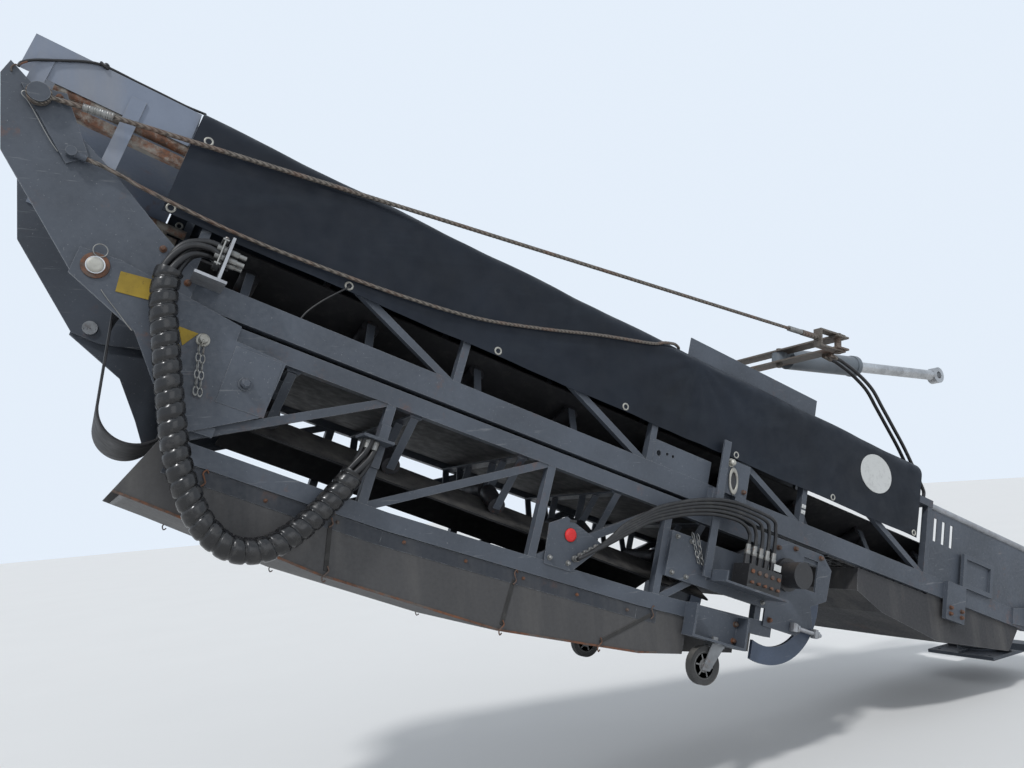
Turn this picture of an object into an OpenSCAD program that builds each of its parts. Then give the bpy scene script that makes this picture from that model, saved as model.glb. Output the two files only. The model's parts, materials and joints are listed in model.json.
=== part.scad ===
// Folding discharge conveyor, folded for transport.
// The origin is on the slew axis in the bottom face of the console.
// Z is up, X points to the machine, and the conveyor reaches out along -X.

/* [Stance] */
// Rise of the main section over the ground, in degrees
incline = 21; // [12:1:26]
// Height of the hinge end over the console's bottom face
hinge_end_z = 2511; // [2300:10:2700]

/* [Main section] */
// Width of the belt
belt_w = 800; // [650:10:900]
// Distance between the posts of the main frame
main_bay = 1200; // [1150:10:1230]
// Distance between the carrying rollers of the main section
idler_pitch = 600; // [500:10:700]

/* [Cover] */
// Height of the tarpaulin roof over the main chord's line
roof_v = 740; // [720:5:780]
// Radius of the tarpaulin's shoulder
shoulder_r = 90; // [60:5:120]

/* [Folded section] */
// Width of the posts of the folded section
fold_post_w = 44; // [36:2:54]
// Diameter of the head drum
head_drum_d = 280; // [240:10:290]

/* [Lift] */
// Diameter of the lift cylinder's barrel
lift_barrel_d = 150; // [130:5:160]
// Diameter of the lift cylinder's rod
lift_rod_d = 80; // [60:5:95]

/* [Hidden] */
$fn = 64;
// Gap between pieces that touch, and running gap round a pin
eps = 0.3;
pin_gap = 0.05;

steel = "#3a4048";
dark_steel = "#343a42";
black_steel = "#2a2c2f";
bare_steel = "#8a8d90";
drum_steel = "#4a4d50";
roller_steel = "#2c2e31";
rubber = "#1c1d1f";
hose_rubber = "#101113";
rope_steel = "#6f6a60";
yoke_steel = "#7a6f60";

slew_pin_r = 60;

// Main frame: its line starts at the end of the lower chord
a_x = -5870;
belt_half = belt_w / 2;
half_w = belt_half + 120;
chord_w = 60;
chord_t = 8;
chord_in = half_w - chord_w;
chord_top = 20;
main_chord_h = 120;
chord_foot = chord_top - main_chord_h;
main_end = 6100;
upper_v = 500;
upper_h = 50;
upper_foot = upper_v - upper_h / 2;
upper_start = -60;
post_w = 40;
cross_w = 50;
main_posts_u = [for (i = [0:3]) 1290 + i * main_bay];
upper_end = main_posts_u[3] + 25;

// Belt line: carrying strand, return strand and thickness
belt_t = 10;
carry_v = 140;
return_v = -60;
tail_u = 5860;
tail_r = (carry_v - return_v) / 2;
tail_v = (carry_v + return_v) / 2;
loop_u = 40;
flat_half = belt_w * 3 / 16;
wing = belt_half - flat_half;
trough = 30;

// Rollers: a wing roller starts and ends at these places from the belt's bend
roller_r = 44.5;
wing_in = 32;
wing_out = wing - 55;
bracket_t = 8;
return_r = 20;
axle_r = 10;
shaft_r = 30;
main_idlers_u = [for (u = [260:idler_pitch:5400]) u];
main_returns_u = [for (u = [900:1200:5200]) u];

// Cover, its bows, and the hopper behind it
cover_u = [-170, 4750];
cover_t = 8;
bow_t = 8;
bow_pitch = 800;
hem_v = 212;
roof_angle_u = [2700, 3800];
roof_angle_w = 80;
roof_angle_h = 130;
hopper_end = 6250;
hopper_low = 120;
hopper_top = 470;
hopper_t = 8;
rail_v = 491;
rail_r = 21;

// Hinge of the folded section and lift pivot
hinge_u = -300;
hinge_v = -110;
hinge_r = 35;
hinge_t = 15;
hinge_gap = 6;
hinge_plate = [[-856, 544], [-867, 478], [-753, 190], [-370, -160], [-235, -170], [60, chord_foot],
    [60, chord_top], [-157, 146], [-372, 282]];
fold_plate = [[-375, -60], [-225, -50], [284, -125], [284, -190], [505, -205], [490, -455], [250, -600],
    [170, -640], [60, -480], [-83, -300], [-375, -170]];
pivot_u = 6118;
pivot_v = 23;
pivot_r = 35;

// Head of the folded section: all that is built round it keeps its place from the drum
head_u = 3600;
head_v = -320;
head_r = head_drum_d / 2;
head_plate_t = 12;

// Folded section, seen in the folded state
fold_half = half_w - 8;
fold_chord_w = 50;
fold_in = fold_half - fold_chord_w;
fold_end = head_u + 300;
f_inner_top = -120;
f_inner_bot = -200;
f_outer = [[250, -640], [1150, -668], [2600, -655], [head_u - 40, -612]];
f_outer_h = 80;
f_carry_v = -360;
f_return_v = -160;
fold_slope = atan((head_r + belt_t - head_v + f_carry_v) / head_u);
fold_return_slope = (head_v + head_r + belt_t - f_return_v) / (head_u - loop_u);
function f_return(u) = f_return_v + (u - loop_u) * fold_return_slope;
fold_belt_u = 340;
fold_posts_u = [1020, 1915, 2700, head_u - 160];
fold_idlers_u = [for (u = [560:idler_pitch:head_u - 300]) u];
fold_returns_u = [860, 2060, head_u - 440];
hood_end = head_u - 185;
hood_t = 4;
hood_half = fold_half - 10;
hood = [[160, -640], [60, -905], [265, -926], [930, -1005], [1830, -1036], [head_u - 940, -965],
    [hood_end, -822]];

// Valve tray with its back plate, and the straps beside it
tray_u = [head_u - 597, head_u - 126];
tray_v = -500;
tray_t = 10;
tray_y = half_w + 170;
tray_back_u = head_u - 878;
valve_u = [head_u - 430, head_u - 180];
valve_pitch = 50;
strap_u = head_u - 655;
strap_w = 50;
strap_t = 12;
strap_y = half_w + 45;
latch_u = strap_u + 235;
latch_y = half_w + 28;

// Castors
castor_u = head_u - 482;
castor_hub = [castor_u - 60, -939];
castor_y = half_w + 30;
castor_r = 100;
tyre_half = 21;
castor_pin_r = 18;
castor_seat = -800;
castor_t = 12;
castor_seat_u = [castor_u - 204, castor_u + 182];
castor_room = 168;

// Stay ropes, yoke and lift cylinder
stay_pin = [-717, 447];
stay_pin_r = 25;
stay_len = 4630;
stay_angle = 10.6;
stay_y = half_w + 50;
stay_rope_r = 9;
yoke_half = half_w - 20;
yoke_pin_r = 22;
yoke_u = stay_pin[0] + stay_len * cos(incline - stay_angle);
yoke_v = stay_pin[1] + stay_len * sin(incline - stay_angle);
lift_angle = 3.7;
lift_length = (-line_x(stay_pin[0], stay_pin[1]) - stay_len * cos(stay_angle)) / cos(lift_angle);
lift_eye_r = 65;

// Sockets that hold the ends of ropes and hoses
guide_pin = [-537, 281];
guide_y = half_w + 42;
hose_bracket_u = 120;
hose_end_v = -400;
lift_hose_y = [-420, -375];
lift_socket_r = 16;
lift_socket = [yoke_u + 23, yoke_v - 53];
lift_socket_len = 70;
rail_socket_u = 4950;
rail_socket_v = 545;

// Free hoses and ropes: places along the line, across it and square to it
hose_d = 110;
hose_points = [
    [hose_bracket_u - eps, -620, 110], [50, -620, 110], [-20, -630, 65], [-50, -640, -40], [-30, -645, -165],
    [30, -650, -310], [125, -655, -525], [230, -650, -735], [325, -645, -865], [415, -640, -950],
    [535, -630, -995], [655, -615, -965], [755, -600, -870], [835, -585, -750], [900, -576, -620],
    [945, -575, -500], [955, -575, -450], [955, -575, hose_end_v]
];
rope_d = 18;
rope_on_roof = roof_v + rope_d / 2 + eps;
rope_points = [
    [-480 + eps, -562, guide_pin[1]], [-450, -562, guide_pin[1]], [-420, -562, guide_pin[1]],
    [-330, -562, 274], [-240, -560, 264], [145, -550, 252], [550, -549, 272], [950, -549, 305],
    [1305, -549, 357], [1650, -549, 450], [2000, -549, 560], [2330, -548, 650], [2420, -538, 693],
    [2500, -511, 727],
    [2550, -481, 745], [2600, -446, 751], [2635, -380, rope_on_roof], [2645, -250, rope_on_roof],
    [2650, 0, rope_on_roof]
];
lift_hose_d = 24;
lift_hose_points = [
    [lift_socket[0] + lift_socket_len + eps, 0, lift_socket[1]], [3960, 0, lift_socket[1]],
    [3990, 0, lift_socket[1]], [4150, 0, 1205], [4310, 0, 1150], [4430, 0, 1060], [4560, 0, 960],
    [4700, 0, 850], [4850, 0, 710], [4930, 0, 630], [rail_socket_u, 0, 600], [rail_socket_u, 0, 570],
    [rail_socket_u, 0, rail_socket_v + eps]
];

// The conveyor line: x along the chord to the machine, z square to it
module in_line() {
    translate([a_x, 0, hinge_end_z]) rotate([0, incline, 0]) children();
}

// World place of a point on the conveyor line
function line_x(u, v) = a_x + u * cos(incline) + v * sin(incline);
function line_z(u, v) = hinge_end_z - u * sin(incline) + v * cos(incline);

// The stay ropes: x along the ropes to the machine, from their pins
module in_stay() {
    translate([line_x(stay_pin[0], stay_pin[1]), 0, line_z(stay_pin[0], stay_pin[1])])
        rotate([0, stay_angle, 0]) children();
}

// The lift cylinder: x along the cylinder to the machine, from the yoke's pin
module in_lift() {
    in_stay() translate([stay_len, 0, 0]) rotate([0, lift_angle - stay_angle, 0]) children();
}

// Both sides of the machine
module both() {
    children();
    mirror([0, 1, 0]) children();
}

// A box given by its limits along the line
module slab(u0, u1, y0, y1, v0, v1) {
    translate([u0, y0, v0]) cube([u1 - u0, y1 - y0, v1 - v0]);
}

// A plate in the side view, from y0 to y1
module side_plate(points, y0, y1) {
    translate([0, y1, 0]) rotate([90, 0, 0]) linear_extrude(y1 - y0) polygon(points);
}

// A straight bar in the side view between two points
module bar(p, q, h, y0, y1) {
    len = norm(q - p);
    a = atan2(q[1] - p[1], q[0] - p[0]);
    translate([p[0], y0, p[1]]) rotate([0, -a, 0]) translate([0, 0, -h / 2]) cube([len, y1 - y0, h]);
}

// A round bar across the line
module cross_rod(u, v, r, y0, y1) {
    translate([u, y1, v]) rotate([90, 0, 0]) cylinder(r = r, h = y1 - y0);
}

// Flat ring in the side view
module ring(u, v, ro, ri, y0, y1) {
    translate([u, y1, v]) rotate([90, 0, 0]) difference() {
        cylinder(r = ro, h = y1 - y0);
        translate([0, 0, -1]) cylinder(r = ri, h = y1 - y0 + 2);
    }
}

module slew_console() {
    base = 520;
    bolt_at = 200;
    color("#3c4046") difference() {
        union() {
            translate([-base / 2, -base / 2, 0]) cube([base, base, 25]);
            cylinder(r = 150, h = 45);
            cylinder(r = slew_pin_r, h = 118);
            for (a = [0:90:270]) rotate([0, 0, a]) translate([140, -8, 20]) cube([110, 16, 22]);
        }
        for (x = [-bolt_at, bolt_at], y = [-bolt_at, bolt_at])
            translate([x, y, -1]) cylinder(r = 13.5, h = 40);
    }
}

module slew_frame() {
    px = line_x(pivot_u, pivot_v);
    pz = line_z(pivot_u, pivot_v);
    ear_y = half_w + 18;
    ear_t = 26;
    ear = [[-80, 51], [90, 51], [90, 110], [px + 75, pz], [px + 45, pz + 62], [px - 45, pz + 62],
        [px - 75, pz]];
    color("#3c4046") {
        difference() {
            union() {
                translate([0, 0, 51]) cylinder(r = 140, h = 59);
                translate([-60, -ear_y - 10, 55]) cube([120, 2 * ear_y + 20, 50]);
            }
            translate([0, 0, 40]) cylinder(r = slew_pin_r + pin_gap, h = 90);
        }
        both() difference() {
            side_plate(ear, ear_y, ear_y + ear_t);
            cross_rod(px, pz, pivot_r + pin_gap, ear_y - 5, ear_y + ear_t + 14);
        }
    }
}

module main_lower_chords() {
    color(steel) in_line() both() difference() {
        slab(0, main_end, chord_in, half_w, chord_foot, chord_top);
        slab(40, main_end - 40, chord_in - 1, half_w - chord_t, chord_foot + chord_t, chord_top - chord_t);
    }
}

module main_upper_chords() {
    color(steel) in_line() both()
        slab(upper_start, upper_end, half_w - 50, half_w, upper_foot, upper_foot + upper_h);
}

module main_posts() {
    color(steel) in_line() both() for (u = concat([post_w / 2], main_posts_u))
        slab(u - post_w / 2, u + post_w / 2, half_w - 48, half_w - 4, chord_top, upper_foot);
}

module main_diagonals() {
    color(steel) in_line() both() for (u = main_posts_u) intersection() {
        bar([u - 20, chord_top - 15], [u - main_bay + 100, upper_foot + 15], 36, half_w - 44, half_w - 10);
        slab(u - main_bay + 40, u - post_w / 2, half_w - 60, half_w, chord_top, upper_foot);
    }
}

module main_cross_members() {
    reach = chord_in - eps;
    color(dark_steel) in_line() for (u = concat([60], main_posts_u, [5500]))
        slab(u - cross_w / 2, u + cross_w / 2, -reach, reach, chord_foot, return_v - 5);
}

// A carrying set of three rollers, the middle one's axis at height v
module roller_set(u, v) {
    r = roller_r - eps;
    drop = roller_r / cos(trough) - roller_r;
    translate([u, 0, v]) {
        rotate([90, 0, 0]) cylinder(r = r, h = 2 * flat_half - 16, center = true);
        for (s = [-1, 1]) translate([0, s * flat_half, -drop]) rotate([s * (trough - 90), 0, 0])
            translate([0, 0, wing_in]) cylinder(r = r, h = wing_out - wing_in);
    }
}

module idler_bar(u, floor_v, half_len) {
    slab(u - 30, u + 30, -half_len, half_len, floor_v, floor_v + bracket_t);
}

// Two middle plates and four leaning plates, from the cross bar up to the rollers' axes
module idler_plates(u, v, floor_v) {
    half = 20;
    drop = roller_r / cos(trough) - roller_r;
    foot = floor_v + bracket_t + eps;
    for (s = [-1, 1]) {
        slab(u - half, u + half, s > 0 ? flat_half - bracket_t : -flat_half,
            s > 0 ? flat_half : bracket_t - flat_half, foot, v + 12);
        for (t = [wing_in - bracket_t, wing_out]) intersection() {
            slab(u - half, u + half, -belt_w, belt_w, foot, foot + 400);
            translate([u, s * flat_half, v - drop]) rotate([s * (trough - 90), 0, 0])
                translate([-half, s > 0 ? -12 : -400, t]) cube([2 * half, 412, bracket_t]);
        }
    }
}

// A return roller under the belt, with its axle
module return_roller(u, v, reach) {
    cross_rod(u, v, return_r - eps, -belt_half - 15, belt_half + 15);
    cross_rod(u, v, axle_r, -reach, reach);
}

module main_idler_bars() {
    color(dark_steel) in_line() for (u = main_idlers_u) idler_bar(u, chord_top, chord_in + 10);
}

module main_idler_plates() {
    axis_v = carry_v - belt_t - roller_r;
    color(dark_steel) in_line() for (u = main_idlers_u) idler_plates(u, axis_v, chord_top);
}

module main_rollers() {
    color(roller_steel) in_line() {
        for (u = main_idlers_u) roller_set(u, carry_v - belt_t - roller_r);
        for (u = main_returns_u) return_roller(u, return_v - return_r, chord_in - eps);
    }
}

module tail_drum() {
    color(drum_steel) in_line() {
        cross_rod(tail_u, tail_v, tail_r - belt_t - eps, -belt_half - 10, belt_half + 10);
        cross_rod(tail_u, tail_v, shaft_r, -chord_in + eps, chord_in - eps);
    }
}

// Trough section of the belt, open to the carrying side
module trough_profile() {
    polygon([
        [-flat_half - wing * cos(trough), wing * sin(trough)], [-flat_half, 0], [flat_half, 0],
        [flat_half + wing * cos(trough), wing * sin(trough)],
        [flat_half + wing * cos(trough) - belt_t * sin(trough), wing * sin(trough) + belt_t * cos(trough)],
        [flat_half - belt_t * tan(trough / 2), belt_t], [-flat_half + belt_t * tan(trough / 2), belt_t],
        [-flat_half - wing * cos(trough) + belt_t * sin(trough), wing * sin(trough) + belt_t * cos(trough)]
    ]);
}

module trough_belt(u0, u1, v) {
    translate([u0, 0, v]) rotate([90, 0, 90]) linear_extrude(u1 - u0) trough_profile();
}

module main_belt() {
    trough_u = [150, 5450];
    lap = 10;
    color(rubber) in_line() {
        trough_belt(trough_u[0], trough_u[1], carry_v - belt_t);
        slab(loop_u, trough_u[0] + lap, -belt_half, belt_half, carry_v - belt_t, carry_v);
        slab(trough_u[1] - lap, tail_u, -belt_half, belt_half, carry_v - belt_t, carry_v);
        slab(loop_u, tail_u, -belt_half, belt_half, return_v, return_v + belt_t);
        intersection() {
            ring(tail_u, tail_v, tail_r, tail_r - belt_t, -belt_half, belt_half);
            slab(tail_u, tail_u + 2 * tail_r, -belt_w, belt_w, tail_v - 2 * tail_r, tail_v + 2 * tail_r);
        }
    }
}

// Half ring open to the machine, about a point in the side view
module half_loop(u, v, ro, ri) {
    intersection() {
        ring(u, v, ro, ri, -belt_half, belt_half);
        slab(u - ro - 1, u, -belt_w, belt_w, v - ro - 1, v + ro + 1);
    }
}

// Part of a flat ring between two angles, counted up from +x in the side view
module arc_band(u, v, ro, ri, a0, a1) {
    steps = 8;
    reach = 2 * ro;
    fan = [for (i = [0:steps]) let (a = a0 + (a1 - a0) * i / steps) [u, v] + reach * [cos(a), sin(a)]];
    intersection() {
        ring(u, v, ro, ri, -belt_half, belt_half);
        side_plate(concat([[u, v]], fan), -belt_w, belt_w);
    }
}

module belt_fold_loop() {
    // Carrying strand: round the hinge, down into a slack bag, then up to the folded section
    turn = [loop_u, (carry_v + f_carry_v) / 2];
    turn_r = (carry_v - f_carry_v) / 2;
    down = 195;
    bag_r = 150;
    bag_v = -560;
    back_r = 120;
    mid = belt_t / 2;
    p0 = turn + (turn_r - mid) * [cos(down), sin(down)];
    fall = -(p0[1] - bag_v + (bag_r - mid) * sin(down)) / cos(down);
    p1 = p0 + fall * [-sin(down), cos(down)];
    bag_u = p1[0] - (bag_r - mid) * cos(down);
    back = [bag_u + bag_r + back_r, f_carry_v - back_r];
    small = (return_v - f_return_v) / 2;
    color(rubber) in_line() {
        arc_band(turn[0], turn[1], turn_r, turn_r - belt_t, 90, down);
        bar(p0, p1, belt_t, -belt_half, belt_half);
        arc_band(bag_u, bag_v, bag_r, bag_r - belt_t, down, 360);
        slab(bag_u + bag_r - belt_t, bag_u + bag_r, -belt_half, belt_half, bag_v, back[1]);
        arc_band(back[0], back[1], back_r + belt_t, back_r, 90, 180);
        slab(back[0], fold_belt_u - eps, -belt_half, belt_half, f_carry_v, f_carry_v + belt_t);
        half_loop(loop_u, (return_v + f_return_v) / 2, small + belt_t, small);
    }
}

// Outline of the cover: straight sides, round shoulders, flat roof
module cover_outline(half, top, r, low) {
    translate([-half, low]) square([2 * half, top - r - low]);
    translate([-half + r, top - r - 1]) square([2 * (half - r), r + 1]);
    for (s = [-1, 1]) translate([s * (half - r), top - r]) circle(r);
}

module cover_shell(u0, u1, half, top, r, low, t) {
    translate([u0, 0, 0]) rotate([90, 0, 90]) linear_extrude(u1 - u0) difference() {
        cover_outline(half, top, r, low);
        translate([0, -1]) cover_outline(half - t, top - t + 1, r - t, low);
    }
}

module cover_bows() {
    half_bow = 20;
    color("#5a5e63") in_line() for (u = [upper_start:bow_pitch:cover_u[1]])
        cover_shell(u - half_bow, u + half_bow, half_w + bow_t, roof_v - cover_t, shoulder_r - cover_t,
            upper_foot, bow_t);
}

module main_cover() {
    color("#24282e") in_line()
        cover_shell(cover_u[0], cover_u[1], half_w + bow_t + cover_t, roof_v, shoulder_r, hem_v, cover_t);
}

module roof_angle() {
    edge = half_w - 100;
    leg_t = 6;
    tie_t = 5;
    color(steel) in_line() {
        slab(roof_angle_u[0], roof_angle_u[1], -edge, -edge + roof_angle_w, roof_v, roof_v + leg_t);
        slab(roof_angle_u[0], roof_angle_u[1], -edge, -edge + leg_t, roof_v, roof_v + roof_angle_h);
        for (u = [roof_angle_u[0] + 60, roof_angle_u[1] - 60])
            slab(u - 20, u + 20, -edge, edge, roof_v, roof_v + tie_t);
    }
}

module hopper_sides() {
    side = [[upper_end, chord_top], [main_end, chord_top], [hopper_end, hopper_low],
        [hopper_end, hopper_top], [upper_end, hopper_top]];
    slots = [for (i = [0:2]) 4980 + 90 * i];
    color(steel) in_line() both() difference() {
        side_plate(side, half_w - 24, half_w - 24 + hopper_t);
        for (u = slots) slab(u - 18, u + 18, half_w - 60, half_w, 260, 420);
    }
}

module hopper_rail() {
    foot_v = rail_v + 9;
    foot_t = 12;
    foot_y = [-half_w + 20, lift_hose_y[1] + 35];
    color("#8b8f92") in_line() both()
        translate([upper_end, half_w - 20, rail_v]) rotate([0, 90, 0]) cylinder(r = rail_r, h = 1365);
    color("#8b8f92") in_line() {
        slab(rail_socket_u - 20, rail_socket_u + 20, foot_y[0], foot_y[1], foot_v, foot_v + foot_t);
        for (y = lift_hose_y) translate([rail_socket_u, y, foot_v + 5])
            cylinder(r = lift_socket_r, h = rail_socket_v - foot_v - 5);
    }
}

module hopper_apron() {
    reach = half_w - 24 - eps;
    color(black_steel) in_line() slab(hopper_end - 10, hopper_end, -reach, reach, hopper_low, hopper_top);
}

module belly_pan() {
    lip_v = chord_foot - 12;
    side = [[4250, lip_v], [4262, -250], [4514, -330], [5085, -385], [5900, -280], [6000, chord_foot],
        [4950, chord_foot], [4940, lip_v]];
    inner = [[4256, chord_foot + 1], [4268, -245], [4516, -324], [5085, -379], [5895, -275],
        [5994, chord_foot + 1]];
    pan_t = 6;
    half = half_w - 20;
    color(black_steel) in_line() difference() {
        side_plate(side, -half, half);
        side_plate(inner, -half + pan_t, half - pan_t);
    }
}

module tail_brackets() {
    frame_u = [5260, 5600];
    rim = 30;
    color(steel) in_line() both() {
        slab(5090, 5290, half_w, half_w + 30, -230, chord_top);
        difference() {
            slab(frame_u[0], frame_u[1], half_w, half_w + 24, chord_top, 250);
            slab(frame_u[0] + rim, frame_u[1] - rim, half_w + 6, half_w + 30, chord_top + rim, 250 - rim);
        }
        difference() {
            side_plate([[5880, -90], [6180, -60], [6200, 20], [6180, 90], [5880, chord_top]],
                half_w, half_w + 12);
            cross_rod(pivot_u, pivot_v, pivot_r, half_w - 5, half_w + 20);
        }
    }
}

module main_pins() {
    color(bare_steel) in_line() both() {
        cross_rod(pivot_u, pivot_v, pivot_r, half_w, half_w + 50);
        cross_rod(hinge_u, hinge_v, hinge_r, half_w - 12, half_w + 2 * hinge_t + hinge_gap + 12);
    }
}

module mesh_guard() {
    mesh = 80;
    wire = 8;
    reach = chord_in + 30;
    count = floor((reach - wire / 2) / mesh);
    ends = [3980, 4930];
    low = chord_foot - 10;
    top = chord_foot - eps;
    color(black_steel) in_line() {
        for (u = [ends[0]:mesh:ends[1] - 30]) slab(u, u + wire, -reach, reach, low, top);
        for (i = [-count:count]) slab(ends[0], ends[1], i * mesh - wire / 2, i * mesh + wire / 2, low, top);
    }
}

module main_hinge_plates() {
    color(steel) in_line() both() difference() {
        side_plate(hinge_plate, half_w, half_w + hinge_t);
        cross_rod(hinge_u, hinge_v, hinge_r, half_w - 5, half_w + hinge_t + 5);
    }
}

module stay_brackets() {
    foot = [[-790, 470], [-640, 510], [-480, 300], [-540, 235], [-600, 290]];
    foot_y = half_w + hinge_t;
    pin_end = stay_y + 22;
    color(steel) in_line() both() {
        side_plate(foot, foot_y, foot_y + 12);
        cross_rod(stay_pin[0], stay_pin[1], stay_pin_r, foot_y + 5, pin_end);
        cross_rod(stay_pin[0], stay_pin[1], stay_pin_r + 15, pin_end - 8, pin_end);
        cross_rod(guide_pin[0], guide_pin[1], 20, foot_y + 5, guide_y + 20);
        translate([guide_pin[0] + 2, guide_y, guide_pin[1]]) rotate([0, 90, 0]) cylinder(r = 14, h = 55);
    }
}

module end_hood() {
    ends = [-830, -175];
    sheet_t = 4;
    side = half_w - 8;
    roof = 705;
    color("#8f989f") in_line() {
        slab(ends[0], ends[1], -side, side, roof, roof + sheet_t);
        both() {
            slab(ends[0], ends[1], side - sheet_t, side, 545, roof + 1);
            slab(-790, -730, side, half_w, 385, 640);
            slab(-440, -380, side, half_w, 220, 640);
        }
    }
}

module lock_straps() {
    color(steel) in_line() both() {
        slab(strap_u - 20, strap_u + 65, half_w, strap_y, -60, 0);
        slab(strap_u, strap_u + strap_w, strap_y, strap_y + strap_t, -490, 290);
        slab(latch_u - 80, latch_u, half_w, latch_y + strap_t, -20, 14);
        slab(latch_u - 190, latch_u, latch_y, latch_y + strap_t, 0, 200);
    }
}

module hose_bracket() {
    arm = half_w + 160;
    bracket = 12;
    low = -20;
    color("#6b7076") in_line() {
        slab(30, hose_bracket_u + 40, -arm, -half_w - hinge_t, low, low + bracket);
        slab(hose_bracket_u, hose_bracket_u + bracket, -arm, -half_w - 40, low, 180);
    }
}

module fold_inner_chords() {
    color(steel) in_line() both() slab(60, fold_end, fold_in, fold_half, f_inner_bot, f_inner_top);
}

module fold_outer_chords() {
    low = [for (i = [3:-1:0]) f_outer[i] - [0, f_outer_h]];
    color(steel) in_line() both() side_plate(concat(f_outer, low), fold_in, fold_half);
}

// The open side of the folded frame, between its chords
module fold_web() {
    low = [for (i = [3:-1:0]) f_outer[i] + [0, eps]];
    room = concat([[60, f_inner_bot], [f_outer[3][0], f_inner_bot]], low, [[60, f_outer[0][1]]]);
    intersection() {
        children();
        side_plate(room, 0, fold_half);
    }
}

module fold_posts() {
    color(steel) in_line() both() fold_web() for (u = fold_posts_u)
        slab(u - fold_post_w / 2, u + fold_post_w / 2, fold_in + 6, fold_half - 2, -750, f_inner_bot + 1);
}

module fold_diagonals() {
    starts = concat([150], [for (i = [0:2]) fold_posts_u[i] + fold_post_w / 2]);
    color(steel) in_line() both() for (i = [0:3]) fold_web() intersection() {
        ends = fold_posts_u[i] - fold_post_w / 2;
        bar([starts[i] - 20, -680], [ends + 20, f_inner_bot + 20], 38, fold_in + 10, fold_half - 6);
        slab(starts[i], ends, 0, fold_half, -800, 0);
    }
}

module fold_cross_members() {
    half = 22;
    reach = fold_in - eps;
    color(dark_steel) in_line() {
        for (u = concat([120], fold_posts_u))
            slab(u - half, u + half, -reach, reach, f_inner_top - 28, f_inner_top - 2);
        for (u = fold_posts_u) slab(u - half, u + half, -reach, reach, -690, -665);
    }
}

module fold_hinge_plates() {
    plate_y = half_w + hinge_t + hinge_gap;
    color(steel) in_line() both() {
        difference() {
            side_plate(fold_plate, plate_y, plate_y + hinge_t);
            cross_rod(hinge_u, hinge_v, hinge_r + pin_gap, half_w, plate_y + hinge_t + 24);
        }
        slab(80, 280, fold_half, plate_y, f_inner_bot, f_inner_top);
        slab(250, 330, fold_half, plate_y, -600, -560);
    }
}

// Height of the middle roller's axis over the folded belt line, counted away from the main section
function fold_axis(u) = -f_carry_v + u * tan(fold_slope) - (belt_t + roller_r) / cos(fold_slope);

module fold_idler_bars() {
    color(dark_steel) in_line() mirror([0, 0, 1]) for (u = fold_idlers_u)
        idler_bar(u, -f_inner_bot, fold_in + 8);
}

module fold_idler_plates() {
    color(dark_steel) in_line() mirror([0, 0, 1]) for (u = fold_idlers_u)
        idler_plates(u, fold_axis(u), -f_inner_bot);
}

module fold_rollers() {
    color(roller_steel) in_line() {
        mirror([0, 0, 1]) for (u = fold_idlers_u) roller_set(u, fold_axis(u));
        for (u = fold_returns_u) return_roller(u, f_return(u) + return_r, fold_in - eps);
    }
}

// Height of the folded carrying strand's two faces at a place along the line
function fold_face(u, depth) = f_carry_v + depth - u * tan(fold_slope);

module fold_belt() {
    trough_u = [450, head_u - 400];
    strand = [[loop_u + eps, f_return_v], [head_u, f_return(head_u)]];
    start = fold_belt_u;
    color(rubber) in_line() {
        translate([0, 0, f_carry_v + belt_t]) rotate([0, fold_slope, 0]) mirror([0, 0, 1])
            trough_belt(trough_u[0], trough_u[1], 0);
        slab(start, start + 60, -belt_half, belt_half, fold_face(start, 0), f_carry_v + belt_t);
        for (u = [[start, trough_u[0] + 10], [trough_u[1] - 20, head_u]]) side_plate([
            [u[0], fold_face(u[0], belt_t)], [u[1], fold_face(u[1], belt_t)],
            [u[1], fold_face(u[1], 0)], [u[0], fold_face(u[0], 0)]], -belt_half, belt_half);
        side_plate(concat(strand, [strand[1] - [0, belt_t], strand[0] - [0, belt_t]]),
            -belt_half, belt_half);
        intersection() {
            ring(head_u, head_v, head_r + belt_t, head_r, -belt_half, belt_half);
            slab(head_u, head_u + 2 * head_r, -belt_w, belt_w, head_v - 2 * head_r, head_v + 2 * head_r);
        }
    }
}

module fold_hood() {
    low = [for (i = [2:-1:0]) f_outer[i] - [0, f_outer_h + 2]];
    outline = concat(hood, [[hood_end, -700]], low, [[240, -640]]);
    skin = hood_end - hood_t;
    room = [for (p = hood) [p[0] < 200 ? p[0] - 60 : min(p[0], skin), p[1] + hood_t]];
    color("#3a3b3c") in_line() {
        difference() {
            side_plate(outline, -hood_half, hood_half);
            side_plate(concat(room, [[skin, -600], [100, -600]]), -hood_half + hood_t, hood_half - hood_t);
            both() wheel_arch(0);
        }
        intersection() {
            side_plate(outline, -hood_half, hood_half);
            both() difference() {
                wheel_arch(hood_t);
                wheel_arch(0);
            }
        }
    }
}

// Room in the hood for a castor that swivels
module wheel_arch(t) {
    from = castor_u - castor_room - 2;
    inner = castor_y - castor_room;
    slab(from - t, hood_end + 85, inner - t, half_w, -1200, castor_seat + t);
}

module head_drum() {
    color(drum_steel) in_line() {
        cross_rod(head_u, head_v, head_r - eps, -belt_half - 10, belt_half + 10);
        cross_rod(head_u, head_v, shaft_r, -fold_half - head_plate_t, fold_half + 30);
    }
}

module head_plates() {
    outline = [[-103, -125], [300, -125], [386, -200], [370, -389], [242, -449], [275, -558], [140, -640],
        [-120, -640], [-120, -200]];
    plate = [for (p = outline) p + [head_u, 0]];
    color(steel) in_line() both() difference() {
        side_plate(plate, fold_half, fold_half + head_plate_t);
        cross_rod(head_u, head_v, shaft_r + pin_gap, fold_half - 5, fold_half + 20);
        slab(head_u + 140, head_u + 265, fold_half - 5, fold_half + 20, -360, -175);
    }
}

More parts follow.
